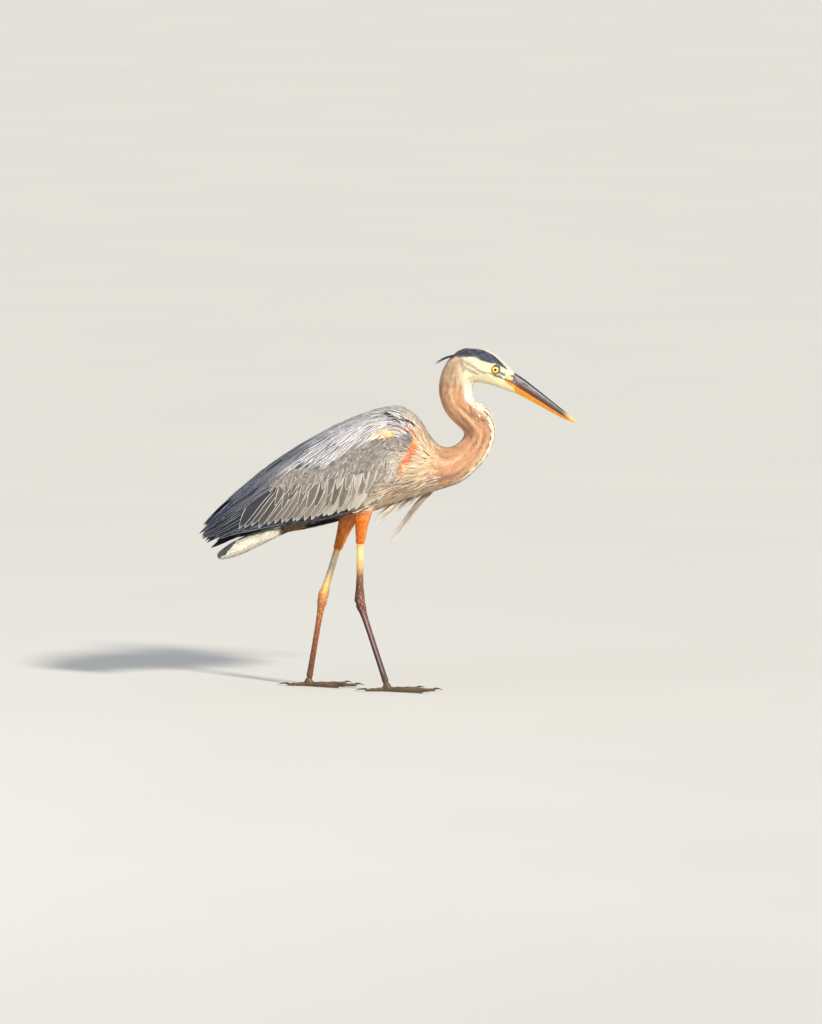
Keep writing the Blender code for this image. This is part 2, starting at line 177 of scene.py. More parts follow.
# %% The body's centre line
CENTRE_LINE = np.array(
    [
        (245.5, 580), (219, 596.5), (194.5, 611.5), (166, 618), (150, 614.5), (138.5, 604),
        (131.5, 589), (129, 571), (132, 551), (144.5, 533), (161, 515.5), (173, 497),
        (174, 480), (165.5, 461), (149, 442.5), (126, 428), (101.5, 426), (81.5, 432),
        (63, 440), (12.5, 446), (-41.5, 430), (-101.5, 409), (-153.5, 388), (-201.5, 369),
        (-311.5, 316), (-357, 290),
    ]
) * MM
FINE = 12
BATCH = 20000


def fine_line(rows, steps):
    """A smooth curve through the rows, steps points for each span."""
    rows = np.asarray(rows, float)
    padded = np.vstack([2 * rows[0] - rows[1], rows, 2 * rows[-1] - rows[-2]])
    made = []
    for i in range(len(rows) - 1):
        before, start, end, after = padded[i : i + 4]
        for t in np.arange(steps) / steps:
            bend = 2 * before - 5 * start + 4 * end - after
            twist = 3 * start - before - 3 * end + after
            made.append(0.5 * (2 * start + (end - before) * t + bend * t**2 + twist * t**3))
    return np.vstack([made, rows[-1]])


LINE = fine_line(CENTRE_LINE, FINE)
HEADING = np.gradient(LINE, axis=0)
HEADING /= np.linalg.norm(HEADING, axis=1)[:, None]


def place_along(points):
    """How far along the bird each point is, counted in rows of CENTRE_LINE, with the heading and
    the middle of the body there. The eye is at 2, the nape at 5, the fold of the neck at 9, its
    root at 15, the hump at 19 and the rump at 22."""
    flat = points[:, [0, 2]]
    nearest = np.empty(len(flat), int)
    for start in range(0, len(flat), BATCH):
        part = flat[start : start + BATCH]
        away = ((part[:, None, :] - LINE[None, :, :]) ** 2).sum(2)
        nearest[start : start + BATCH] = away.argmin(1)
    near = np.clip(nearest, 1, len(LINE) - 2)
    step = ((flat - LINE[near]) * HEADING[near]).sum(1)
    span = np.linalg.norm(LINE[near + 1] - LINE[near - 1], axis=1) / 2
    place = (near + np.clip(step / span, -1, 1)) / FINE
    return place, HEADING[near], LINE[near]


print("length of the centre line:", round(float(np.linalg.norm(np.diff(LINE, axis=0), axis=1).sum()), 3))


# %% [markdown]
# ## The outline and the skin
# A voxel remesh fills a shape with small cubes and wraps them again, so separate solids that
# nearly touch come out as one closed surface, with no seams between head, neck and trunk. It is
# used twice: once on everything that carries feathers, to get the outline that the coat lies in,
# and once without the hand of the wing, to get the skin. A little smoothing removes the steps.

# %% One surface from many solids
def cut_off(shaped, behind):
    """Removes what lies behind this X and closes the cut."""
    parts = shaped.verts[:] + shaped.edges[:] + shaped.faces[:]
    bmesh.ops.bisect_plane(shaped, geom=parts, plane_co=(behind, 0, 0), plane_no=(-1, 0, 0),
                           clear_outer=True)
    bmesh.ops.holes_fill(shaped, edges=[e for e in shaped.edges if e.is_boundary])


def copy_of(node, cut_behind=None):
    """A welded copy of a CAD node."""
    shaped = bmesh.new()
    shaped.from_mesh(frame["nodes"][node].data)
    bmesh.ops.remove_doubles(shaped, verts=shaped.verts, dist=1e-5)
    if cut_behind is not None:
        cut_off(shaped, cut_behind)
    return shaped


def wrapped(name, copies, voxel, smoothing):
    """One closed surface round all the copies. voxel is in millimetres."""
    joined = bmesh.new()
    for part in copies:
        mesh = mesh_of("part", part)
        joined.from_mesh(mesh)
        bpy.data.meshes.remove(mesh)
    piece = made_object(name, mesh_of(name, joined))
    remesh = piece.modifiers.new("one surface", "REMESH")
    remesh.mode = "VOXEL"
    remesh.voxel_size = voxel * MM
    smooth = piece.modifiers.new("soften", "SMOOTH")
    smooth.factor = 0.5
    smooth.iterations = smoothing
    return settled(piece)


SIDES = {"right": -1, "left": 1}
FEATHERED = ["head", "neck_upper", "neck_middle", "neck_lower", "trunk", "wing_right", "wing_left",
             "tail", "thigh_right", "thigh_left"]
WING_SKIN_END = -206 * MM
EYE_RADIUS = 11 * MM
EYE_CENTRE = {side: np.array(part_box(f"eye_{side}")).mean(0) for side in SIDES}


def ball(centre, radius, fineness=5):
    shaped = bmesh.new()
    bmesh.ops.create_icosphere(shaped, subdivisions=fineness, radius=radius)
    bmesh.ops.translate(shaped, verts=shaped.verts, vec=tuple(centre))
    return shaped


def filled_sockets():
    """Balls that close the eye sockets for the wrapping. They are cut again afterwards."""
    return [ball(c, EYE_RADIUS - 0.6 * MM) for c in EYE_CENTRE.values()]


outline = wrapped("outline", [copy_of(n) for n in FEATHERED] + filled_sockets(), 2.4, 12)
put_away(outline)
print("outline points:", len(outline.data.vertices))

# %% The flesh inside it
bodies = [copy_of(n, WING_SKIN_END if n.startswith("wing") else None) for n in FEATHERED]
skin = wrapped("skin", bodies + filled_sockets(), 2.6, 12)
flesh_points, flesh_out = points_of(skin.data), normals_of(skin.data)
print("flesh points:", len(flesh_points))

# %% [markdown]
# ## How deep the coat is
# The coat is deep on the trunk, thinner on the neck and only a millimetre or so on the face, and
# the skin sits below the outline by that much. At the lores and round the eye the skin is bare.

# %% Depth of the coat
def ramp(value, start, end):
    """0 before start and 1 after end, with a smooth change between them."""
    t = np.clip((np.asarray(value, float) - start) / (end - start), 0, 1)
    return t * t * (3 - 2 * t)


def fade(value, start, end):
    """1 before start and 0 after end."""
    return ramp(-np.asarray(value, float), -end, -start)


def read_off(table, value):
    """The second column of a table, read at a value of its first."""
    table = np.asarray(table, float)
    return np.interp(value, table[:, 0], table[:, 1])


# The place along the bird, and the depth of its coat there in millimetres.
COAT_DEPTH = [(0, 0.5), (1, 0.6), (2, 0.9), (4, 1.2), (7, 2.0), (12, 2.6), (16, 3.6), (19, 4.2)]
TAIL_TOP = [(-0.326, 0.268), (-0.29, 0.286), (-0.258, 0.302), (-0.2, 0.321)]


def on_tail(points):
    """True on the tail, which lies below the folded wings."""
    x, y, z = points.T
    return (x < -0.19) & (np.abs(y) < 0.032) & (z < read_off(TAIL_TOP, x))


def coat_depth(points):
    depth = read_off(COAT_DEPTH, place_along(points)[0])
    depth = np.where(on_tail(points), 1.2, depth)
    # The thighs carry short, close feathers.
    return MM * (depth + (1.6 - depth) * fade(points[:, 2], 0.30, 0.34))


flesh_points -= flesh_out * coat_depth(flesh_points)[:, None]
move_points(skin.data, flesh_points)
print("deepest coat, mm:", round(float(coat_depth(flesh_points).max() / MM), 1))


# %% [markdown]
# ## Legs
# The bare legs are wrapped more finely, because their scales are only a few millimetres long. On
# a heron the front of the leg carries one row of broad plates like a ladder, and the toes carry
# the same plates on top. They are pushed out of the surface here, each plate rising towards its
# lower end, so that they also show in the mesh and not only in the material.

# %% Wrap the legs
LEG_NODES = [f"{part}_{side}" for part in ("shank", "tarsus", "foot") for side in SIDES]
JOINTS = {
    "right": {"hem": (-52.5, -34, 279), "knee": (-53.2, -34.6, 258), "ankle": (-53.5, -36, 170),
              "toes": (-1.5, -46, 10.3)},
    "left": {"hem": (-96.5, 34, 262), "knee": (-104, 34.6, 238), "ankle": (-124, 36, 172),
             "toes": (-151, 51.6, 10.3)},
}


def hull_of(shaped):
    """Turns a bmesh into the convex hull of its points."""
    hull = bmesh.ops.convex_hull(shaped, input=shaped.verts)
    inner = [g for g in hull["geom_interior"] if isinstance(g, bmesh.types.BMVert)]
    bmesh.ops.delete(shaped, geom=inner, context="VERTS")
    return shaped


def bridge(start, end, thick_start, thick_end):
    """A smooth link between two places: the hull of a ball at each."""
    shaped = bmesh.new()
    for place, thick in ((start, thick_start), (end, thick_end)):
        made = bmesh.ops.create_icosphere(shaped, subdivisions=3, radius=thick * MM)
        bmesh.ops.translate(shaped, verts=made["verts"], vec=Vector(place) * MM)
    return hull_of(shaped)


def unit(vector):
    return vector / np.linalg.norm(vector)


def links(side):
    """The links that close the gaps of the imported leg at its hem, ankle and toes."""
    at = {name: np.array(place, float) for name, place in JOINTS[side].items()}
    shin, thigh_down = unit(at["toes"] - at["ankle"]), unit(at["knee"] - at["hem"])
    return [
        bridge(at["hem"] - thigh_down * 16, at["hem"] + thigh_down * 9, 6.4, 5.2),
        bridge(at["ankle"] - shin * 3 + [0, 0, 4], at["ankle"] + shin * 9, 9.0, 8.6),
        bridge(at["toes"] - shin * 16, at["toes"] + [0, 0, -2.5], 4.4, 5.6),
    ]


legs = wrapped("legs", [copy_of(n) for n in LEG_NODES] + links("right") + links("left"), 1.3, 12)
leg_points, leg_out = points_of(legs.data), normals_of(legs.data)
# The bare thigh above the ankle is half a millimetre thicker than it was packed.
leg_points += leg_out * (0.5 * MM * ramp(leg_points[:, 2], 0.185, 0.210))[:, None]
print("leg points:", len(leg_points))

# %% Raise the plates
END = 4 * MM
REACH = 16 * MM
PLATE_RELIEF = 0.42 * MM
PLATE_PITCH = {"tarsus": 6.2 * MM, "shank": 5.4 * MM, "toes": 3.4 * MM}


def leg_frame(node):
    """The top, the foot and the unit direction of a straight leg part."""
    low, high = (np.array(corner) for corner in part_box(node))
    ends = points_of(frame["nodes"][node].data)
    top = ends[ends[:, 2] > high[2] - END].mean(0)
    foot = ends[ends[:, 2] < low[2] + END].mean(0)
    return top, foot, unit(foot - top)


def plates(down, pitch):
    """A saw-tooth of plates: 0 at a plate's upper edge, rising to 1, with a narrow groove."""
    share = (down / pitch) % 1.0
    return ramp(share, 0.0, 0.25) * (0.55 + 0.45 * share) - 0.9 * ramp(share, 0.88, 1.0)


relief = np.zeros(len(leg_points))
for side in SIDES:
    for part in ("tarsus", "shank"):
        pitch = PLATE_PITCH[part]
        top, foot, down_way = leg_frame(f"{part}_{side}")
        down = (leg_points - top) @ down_way
        off = np.linalg.norm(leg_points - top - down[:, None] * down_way, axis=1)
        inside = (off < REACH) & (down > -END) & (leg_points[:, 2] > foot[2] - 2 * MM)
        front, back = ramp(leg_out[:, 0], 0.15, 0.6), ramp(-leg_out[:, 0], 0.35, 0.8) * 0.5
        wave = plates(down, pitch) * front + plates(down, pitch * 0.6) * back
        relief = np.where(inside, wave, relief)
on_toes = (leg_points[:, 2] < 11 * MM) & (leg_out[:, 2] > 0.1)
relief = np.where(on_toes, plates(leg_points[:, 0] + 1, PLATE_PITCH["toes"]) * 0.6, relief)
leg_points += leg_out * (relief * PLATE_RELIEF - 0.2 * MM)[:, None]
leg_points[:, 2] = np.maximum(leg_points[:, 2], 0.0)
move_points(legs.data, leg_points)
print("plates raised, mm:", round(float(relief.max() * PLATE_RELIEF / MM), 2))

# %% [markdown]
# ## Eyelids
# A heron's eye sits in a ring of bare skin, a little flattened above by the brow, which gives the
# bird its stern look. Each lid is a tube swept round the eye where the eyeball comes out of the
# head. It is joined to the skin with a Boolean, and the socket is cut with a ball a hair wider
# than the eye, so the eye rests in it as a real one does.

# %% Lid rings
ROUNDS, TUBE = 48, 12


def lid_ring(side):
    """A tube round the eye, thicker and lower under the brow."""
    outwards = np.array([0.0, SIDES[side], 0.0])
    points, faces = [], []
    for i in range(ROUNDS):
        a = 2 * math.pi * i / ROUNDS
        brow = max(0.0, math.sin(a + 0.35)) ** 2
        reach = (7.35 - 0.7 * brow) * MM
        depth = math.sqrt(EYE_RADIUS**2 - reach**2)
        spoke = np.array([math.cos(a), 0.0, math.sin(a)])
        middle = EYE_CENTRE[side] + spoke * reach + outwards * depth
        thick = (0.6 + 0.4 * brow) * MM
        for k in range(TUBE):
            b = 2 * math.pi * k / TUBE
            points.append(middle + thick * (math.cos(b) * spoke * 1.25 + math.sin(b) * outwards * 0.9))
            j, m = (i + 1) % ROUNDS, (k + 1) % TUBE
            faces.append((i * TUBE + k, i * TUBE + m, j * TUBE + m, j * TUBE + k))
    shaped = bmesh.new()
    corners = [shaped.verts.new(p) for p in points]
    for f in faces:
        shaped.faces.new([corners[v] for v in f])
    bmesh.ops.recalc_face_normals(shaped, faces=shaped.faces)
    return shaped


print("lid points:", ROUNDS * TUBE)

# %% One skin
def joined_with(piece, other, operation):
    change = piece.modifiers.new(other.name, "BOOLEAN")
    change.operation = operation
    change.solver = "MANIFOLD"
    change.object = other


def as_helper(name, shaped):
    return made_object(name, mesh_of(name, shaped), helper=True)


SOCKET_GAP = 0.12 * MM
put_away(legs)
joined_with(skin, legs, "UNION")
for side in SIDES:
    joined_with(skin, as_helper("lid", lid_ring(side)), "UNION")
for side in SIDES:
    socket = as_helper("socket", ball(EYE_CENTRE[side], EYE_RADIUS + SOCKET_GAP))
    joined_with(skin, socket, "DIFFERENCE")
settled(skin)
skin.data.shade_smooth()
print("skin faces:", len(skin.data.polygons))

# %% [markdown]
# ## Where a point is on the bird
# Every rule below, for colour, for the lie of the feathers and for their size, asks the same
# questions of a point: how far along the bird it is, and how far round from the middle of the
# back to the middle of the belly. Those two numbers are also a map of the skin, cut open along
# the belly, and each feather keeps its root's place on that map.

# %% Along and around
def around_body(points):
    """Place along the bird, and the angle round it: 0 on the back and pi, or -pi, on the belly."""
    place, heading, middle = place_along(points)
    dorsal = np.stack([heading[:, 1], -heading[:, 0]], 1)
    off = points[:, [0, 2]] - middle
    return place, np.arctan2(points[:, 1], (off * dorsal).sum(1)), heading


def seat_on_map(points):
    place, angle, _ = around_body(points)
    across = 0.02 + 0.96 * place / len(CENTRE_LINE)
    return np.stack([across, 0.5 + 0.48 * angle / math.pi, np.zeros(len(points))], 1)


WAVES = 7


def mottle(points, size, seed):
    """Smooth noise between about -1 and 1, with patches of this size in metres."""
    rng = np.random.default_rng(seed)
    total = np.zeros(len(points))
    for _ in range(WAVES):
        wave = rng.normal(size=3)
        wave *= 2 * math.pi / size / np.linalg.norm(wave) * rng.uniform(0.6, 1.3)
        total += np.sin(points @ wave + rng.uniform(0, 2 * math.pi))
    return total / 3.0


# %% [markdown]
# ## Markings
# One function gives the colour of any point of the bird, and skin and feathers both use it, so
# that no gap between feathers shows a wrong colour. The crown is white with a black stripe over
# each eye that runs on into the crest. The cheeks and throat are cream, the neck a pinkish taupe
# with a white, dark-dashed stripe down its front, the back blue-grey, the belly black, and the
# thighs and the bend of the wing rufous.

# %% Palette
INK = linear(24, 30, 46)
CREAM = linear(246, 236, 204)
WHITE = linear(246, 242, 230)
TAUPE = linear(200, 146, 106)
TAUPE_DARK = linear(122, 88, 72)
BUFF = linear(228, 190, 148)
BROWN_GREY = linear(140, 132, 124)
RUFOUS = linear(220, 112, 38)
LORES = linear(122, 134, 128)


def over(below, above, amount):
    """Paints one colour over another. amount is 0 to 1 for each point."""
    amount = np.clip(amount, 0, 1)[:, None]
    return below * (1 - amount) + above * amount


def patches(points, size, seed, start, end):
    """Where the mottle shows as patches: it runs from 0 at start to 1 at end."""
    return ramp(mottle(points, size, seed), start, end)

# %% Lines drawn on the side
WING_BELOW = np.array([(-357, 281.5), (-344, 277.5), (-313, 288), (-258, 308), (-200, 314.5),
                       (-146, 322.5), (-89, 331), (-31, 353), (2, 377), (30, 413), (49, 455),
                       (58, 481)]) * MM


def near_line(points, line):
    """Distance in millimetres, seen from the side, from each point to a drawn line."""
    flat, line = points[:, [0, 2]] / MM, np.array(line, float)
    best = np.full(len(flat), 1e9)
    for a, b in zip(line[:-1], line[1:]):
        share = np.clip(((flat - a) @ (b - a)) / ((b - a) @ (b - a)), 0, 1)
        best = np.minimum(best, np.linalg.norm(flat - a - share[:, None] * (b - a), axis=1))
    return best


def stroke(points, line, full, gone, rag=0.0):
    """A brush stroke along a line: whole up to full millimetres away, and gone beyond gone."""
    return fade(near_line(points, line) + rag, full, gone)


def between(line, x):
    """Height, in metres, of a drawn line at this X."""
    return read_off(np.array(line, float) * MM, x)

# %% Head markings
STRIPE_LOW = [(100, 612), (112, 626), (126, 634), (141, 635), (166, 635), (176, 629), (186, 624),
              (205, 620.5), (216, 615), (229, 607)]
STRIPE_HIGH = [(150, 665), (168, 655), (176, 650.5), (184, 646), (195, 640.5), (205, 634),
               (216, 623.5), (229, 609)]
GAPE = [(184, 606), (196, 602), (213, 595.5), (226, 589.5), (237, 584), (252, 574)]
WEDGE = [(221, 588), (229, 583.5), (241, 575.5), (256, 566)]
WEDGE_WIDTH = [(0.216, 0.8), (0.226, 3.4), (0.242, 5.6), (0.256, 6.4)]
# Height, and how far forward the feathers reach there.
FEATHER_EDGE = np.array([(566, 247.5), (571, 244), (577, 236), (583, 228), (590, 222.5),
                         (598, 224.5), (603, 233), (608, 247.5)]) * MM
EAR_STREAKS = ([(140, 634), (142, 622), (146, 611)], [(146, 629), (160, 618), (174, 609), (186, 603)],
               [(148, 616), (160, 608), (172, 602)])
# Strokes on the bare face: colour, line, the distances where it is whole and gone, strength.
LORE_STROKES = [
    (linear(222, 210, 212), [(224, 606), (237, 600)], 1.6, 3.6, 0.8),
    (LORES, [(205, 599), (214, 596.5)], 2.0, 4.5, 0.8),
    (linear(82, 90, 112), [(206, 606.5), (214, 604), (222, 599.5), (226, 595)], 1.6, 3.4, 1.0),
    (linear(74, 64, 78), [(236, 594), (252, 588)], 4.5, 7.0, 0.9),
    (linear(255, 236, 90), [(225, 597.5), (235, 592.5)], 1.7, 3.2, 1.0),
]


def black_stripe(points, rag):
    """The stripe over each eye, which meets the other one on the nape."""
    x, y, z = points.T
    low, high = between(STRIPE_LOW, x), between(STRIPE_HIGH, x)
    stripe = ramp(z + rag, low - 0.0012, low + 0.0012) * fade(z - rag, high - 0.001, high + 0.001)
    stripe *= fade(x, 0.226, 0.230)
    return stripe * np.where(x < 0.135, fade(np.abs(y), 0.012, 0.017), 1.0)


def paint_bare_face(points, colour, head, side):
    """Bare skin from eye to bill: slate, with a yellow spot, over the dark line of the gape."""
    x, _, z = points.T
    bald = head * side * ramp(x - read_off(FEATHER_EDGE, z), -0.002, 0.0)
    colour = over(colour, linear(170, 160, 172), bald)
    under = ramp(between([(220, 595), (252, 583)], x) - z, 0.0, 0.004)
    colour = over(colour, linear(104, 58, 50), bald * under)
    for shade, line, full, gone, strength in LORE_STROKES:
        colour = over(colour, shade, stroke(points, line, full, gone) * head * side * strength)
    wedge = ramp(read_off(WEDGE_WIDTH, x) - near_line(points, WEDGE), -0.5, 0.7) * bald
    colour = over(colour, linear(250, 158, 30), wedge)
    gape = stroke(points, GAPE, 0.7, 1.7) * head * side * ramp(x, 0.180, 0.205)
    return over(colour, linear(92, 40, 26), gape)


def paint_head(points, place, colour):
    x, y, z = points.T
    side, head = ramp(np.abs(y), 0.006, 0.009), place < 6.4
    rag = mottle(points, 0.006, 4) * 0.5
    colour = over(colour, linear(250, 244, 200), head * ramp(x, 0.165, 0.185) * 0.7)
    # Soft brown streaks run from the eye back over the ear.
    cheek = patches(points * [1, 1, 2.2], 0.014, 3, 0.1, 0.9) * ramp(place, 2.6, 4.2)
    colour = over(colour, linear(196, 166, 138), cheek * fade(place, 5.6, 6.6) * 0.6)
    for line in EAR_STREAKS:
        streak = stroke(points, line, 1.0, 3.2, rag) * side * head
        colour = over(colour, linear(120, 98, 86), streak * 0.62)
    navy = over(INK, linear(74, 94, 140), patches(points * [1, 1, 2], 0.012, 7, -0.5, 0.9) * 0.7)
    colour = over(colour, navy, black_stripe(points, rag * MM) * head)
    crown = fade(np.abs(y), 0.0062, 0.0088) * ramp(x, 0.150, 0.160) * (z > between(STRIPE_LOW, x))
    colour = over(colour, WHITE, crown * head)
    colour = paint_bare_face(points, colour, head, side)
    # The rim of the lids is dark.
    from_eye = np.hypot(x - EYE_CENTRE["right"][0], z - EYE_CENTRE["right"][2]) / MM
    return over(colour, linear(88, 62, 40), fade(from_eye, 7.6, 8.3) * head * side)

# %% Neck markings
# The dashed lines down the front of the neck: their angle from the back, and a seed each.
DASHED_LINES = ((2.33, 21), (2.72, 22))


def paint_neck(points, place, angle, colour):
    turned = np.abs(angle)
    throat = ramp(turned, 2.05 - 0.25 * fade(place, 6.0, 6.8), 2.4) * fade(place, 8.6, 9.6)
    ventral = ramp(turned, 2.2, 2.45) * ramp(place, 8.2, 9.0)
    # The streaks run along the neck: the noise is quick round the neck and slow along it.
    streak = mottle(np.stack([place * 2.2, angle * 19.0, turned * 0], 1) * MM, 0.0085, 11)
    neck = over(TAUPE, TAUPE_DARK, ramp(streak, 0.2, 1.1) * 0.8)
    neck = over(neck, BUFF, ramp(-streak, 0.3, 1.1) * 0.75)
    neck = over(neck, linear(176, 134, 104), ramp(place, 12.0, 13.5) * 0.25)
    neck = over(neck, BUFF, fade(place, 5.5, 7.5) * 0.25)
    neck = over(neck, WHITE, throat)
    neck = over(neck, linear(255, 246, 222), ventral * fade(place, 13.4, 15.6) * 0.95)
    for at, seed in DASHED_LINES:
        line = np.exp(-(((turned - at) / 0.085) ** 2)) * patches(points * [1, 1, 1.6], 0.017, seed, -0.25, 0.15)
        line *= ramp(place, 8.9, 9.4) * fade(place, 14.4, 15.6)
        neck = over(neck, linear(64, 40, 44), line * 0.9)
    nape = fade(points[:, 0], 0.126, 0.150) * 0.85
    return over(colour, neck, np.maximum(ramp(place, 4.6, 6.6), nape))

# %% Shoulder markings
SHOULDER_ARC = [(36, 496), (50, 491), (59, 480), (57, 470)]
SHOULDER_STREAK = [(56, 470), (47.5, 452.5), (40, 441), (32, 427), (28, 416)]
STREAK_WIDTH = [(0.415, 2.0), (0.425, 4.5), (0.45, 6.8), (0.470, 4.2)]
SHOULDER_DARK = [(2, 530), (15, 523), (27, 515), (40, 511.5), (52, 503)]
SHOULDER_GOLD = [(-6, 499), (4, 494), (14, 494)]


def on_shoulder(points, turned):
    """How strongly each mark shows: rufous streak, its pale spot, gold patch, dark line."""
    side = ramp(turned, 0.30, 0.42) * fade(turned, 2.2, 2.5)
    rag = mottle(points, 0.009, 41) * 1.1
    width = read_off(STREAK_WIDTH, points[:, 2]) + 1.0
    streak = ramp(width - near_line(points, SHOULDER_STREAK) - rag, 0.0, 2.0)
    rufous = np.maximum(streak, 0.8 * stroke(points, SHOULDER_ARC, 0.9, 2.2, rag))
    pale = stroke(points, [(37, 434), (35, 427)], 1.6, 3.2, rag)
    gold = stroke(points, SHOULDER_GOLD, 5.5, 8.0, rag)
    dark = stroke(points, SHOULDER_DARK, 1.4, 3.0, rag * 0.5)
    return rufous * side, pale * side, gold * side, dark * side


def paint_shoulder(points, turned, colour):
    """The rufous front edge of the folded wing, the gold patch above it and the dark line."""
    rufous, pale, gold, dark = on_shoulder(points, turned)
    upper_spot = stroke(points, [(57, 478), (55, 470)], 2.0, 3.4) * rufous
    colour = over(colour, linear(222, 112, 72), rufous)
    colour = over(colour, linear(255, 226, 150), np.maximum(pale, upper_spot))
    colour = over(colour, linear(246, 172, 84), gold)
    gold_core = gold * stroke(points, [(-2, 498), (8, 494)], 3.0, 6.5)
    colour = over(colour, linear(255, 240, 184), gold_core)
    return over(colour, linear(52, 50, 62), dark * 0.92)


# %% Trunk markings
WING_EDGE = [(0.38, 0.0), (0.415, 0.024), (0.427, 0.028), (0.4525, 0.044), (0.470, 0.054), (0.489, 0.050),
             (0.505, 0.040), (0.53, 0.030)]


def upper_colour(points, turned):
    """Grey above, bluer towards the rump, and warm on the breast in front of the wing."""
    x, _, z = points.T
    grey = over(linear(176, 168, 166), linear(120, 120, 128), ramp(-x, -0.03, 0.12))
    ridge = fade(turned, 0.35, 0.75) * ramp(-x, 0.02, 0.12)
    grey = over(grey, linear(66, 74, 96), np.maximum(ramp(-x, 0.13, 0.24), ridge))
    grey = over(grey, BROWN_GREY, patches(points, 0.03, 5, 0.1, 0.9) * 0.35)
    breast = over(linear(226, 190, 156), TAUPE_DARK, fade(z, 0.39, 0.44) * 0.55)
    front = ramp(x - read_off(WING_EDGE, z), 0.0, 0.012) * ramp(turned, 0.35, 0.9)
    lower_breast = ramp(x, -0.035, 0.0) * ramp(turned, 1.9, 2.2)
    return over(grey, breast, np.maximum(front, lower_breast))


def paint_trunk(points, place, turned, colour):
    x, _, z = points.T
    trunk = upper_colour(points, turned)
    belly = np.maximum(ramp(read_off(WING_BELOW, x) - z, -0.001, 0.003), ramp(turned, 2.55, 2.75))
    belly *= ramp(-x, 0.025, 0.05)
    # The belly's own black, made near black as painted shade: it lies in deep shade under the wing.
    trunk = over(trunk, linear(10, 10, 14), belly)
    trunk = over(trunk, WHITE, ramp(turned, 2.95, 3.08) * ramp(-x, 0.0, 0.05) * 0.8)
    tan = over(linear(196, 142, 92), linear(120, 84, 58), patches(points, 0.009, 13, 0.0, 1.0))
    trunk = over(trunk, tan, fade(np.abs(x + 0.163), 0.014, 0.026) * belly * 0.85)
    trunk = over(trunk, linear(250, 246, 226), ramp(-x, 0.188, 0.205) * belly)
    trunk = over(trunk, linear(64, 70, 88), ramp(-x, 0.302, 0.314) * belly)
    return over(colour, paint_shoulder(points, turned, trunk), ramp(place, 15.4, 17.0))


# %% Thigh and leg markings
THIGHS = {
    "right": (np.array([-0.0445, -0.033, 0.382]), np.array([-0.0525, -0.034, 0.279])),
    "left": (np.array([-0.0615, 0.033, 0.366]), np.array([-0.0965, 0.034, 0.262])),
}
FAR_BELLY_EDGE = [(-0.15, 0.312), (-0.10, 0.322), (-0.04, 0.339), (0.014, 0.352)]


def share_of_thigh(points):
    """1 on a thigh and 0 elsewhere, and the way down that thigh."""
    near = (points[:, 1] < 0)[:, None]
    top, knee = (np.where(near, *ends) for ends in zip(THIGHS["right"], THIGHS["left"]))
    way = (knee - top) / np.linalg.norm(knee - top, axis=1)[:, None]
    along = ((points - top) * way).sum(1)
    off = np.linalg.norm(points - top - along[:, None] * way, axis=1)
    edge = np.where(points[:, 1] < 0, read_off(WING_BELOW, points[:, 0]) - 0.002,
                    read_off(FAR_BELLY_EDGE, points[:, 0]))
    below = ramp(edge + 0.006 - points[:, 2], 0.0, 0.010)
    return below * (off < 0.036) * (np.abs(points[:, 1]) > 0.015), way


# Height above the floor in millimetres, and the leg's colour there.
LEG_STOPS = {
    "right": [(0, (96, 80, 50)), (25, (74, 52, 42)), (50, (56, 34, 36)), (110, (68, 38, 42)),
              (150, (96, 56, 46)), (178, (112, 68, 50)), (200, (104, 62, 42)), (219, (138, 90, 58)),
              (236, (214, 166, 104)), (250, (236, 198, 130)), (266, (244, 214, 148)), (282, (236, 172, 104))],
    "left": [(0, (98, 80, 50)), (40, (104, 60, 36)), (110, (150, 84, 44)), (160, (194, 118, 60)),
             (180, (226, 164, 92)), (198, (250, 214, 128)), (213, (236, 208, 150)), (228, (216, 198, 170)),
             (250, (226, 206, 170)), (264, (226, 176, 122))],
}
LEG_MIDDLE = {"right": [(10, -1.5), (170, -53.5), (280, -52.5)],
              "left": [(10, -151), (172, -124), (262, -96.5)]}


def leg_ground(stops, z):
    heights = [height for height, _ in stops]
    colours = np.array([linear(*colour) for _, colour in stops])
    return np.stack([np.interp(z, heights, colours[:, k]) for k in range(3)], 1)


def bare_leg(points, near, forward):
    """The scaly leg: the near one dark with a painted highlight down its front, the far one orange and tan,
    both with painted shade behind.
    """
    z = points[:, 2] / MM
    leg = np.where(near[:, None], leg_ground(LEG_STOPS["right"], z), leg_ground(LEG_STOPS["left"], z))
    blotch, fine = mottle(points, 0.0045, 31), mottle(points * [1, 1, 0.4], 0.003, 34)
    low = np.where(near, fade(z, 200, 228), fade(z, 165, 195))
    leg = over(leg, linear(52, 26, 26), ramp(blotch, 0.3, 1.2) * (0.12 + 0.42 * low))
    leg = over(leg, linear(222, 178, 156), ramp(-blotch, 0.5, 1.3) * 0.5 * low * ramp(z, 60, 120))
    leg = over(leg, linear(110, 66, 50), ramp(fine, 0.5, 1.4) * 0.25)
    # Painted shade: darker along the back edge of each leg, low on the near leg and at the top of the far one.
    behind = ramp(-forward, 0.15, 0.8) * 0.7 * np.where(near, low, 0.35 + 0.3 * ramp(z, 205, 220))
    leg = over(leg, linear(40, 24, 32), behind * (z > 18))
    # A painted highlight: a pale stripe of light down the front of the near tarsus.
    painted_highlight = np.exp(-(((forward + 0.05 * blotch - 0.1) / 0.16) ** 2)) * 0.7 * near
    return over(leg, linear(206, 172, 172), painted_highlight * ramp(z, 25, 45) * fade(z, 140, 165))


def feathered_thigh(points, forward):
    thigh = over(RUFOUS, linear(150, 78, 34), patches(points, 0.008, 32, 0.5, 1.2) * 0.4)
    pale = ramp(-mottle(points, 0.008, 33), 0.4, 1.1) * 0.4
    thigh = over(thigh, linear(250, 168, 92), pale)
    return over(thigh, linear(246, 176, 104), ramp(forward, 0.6, 2.2) * 0.4)


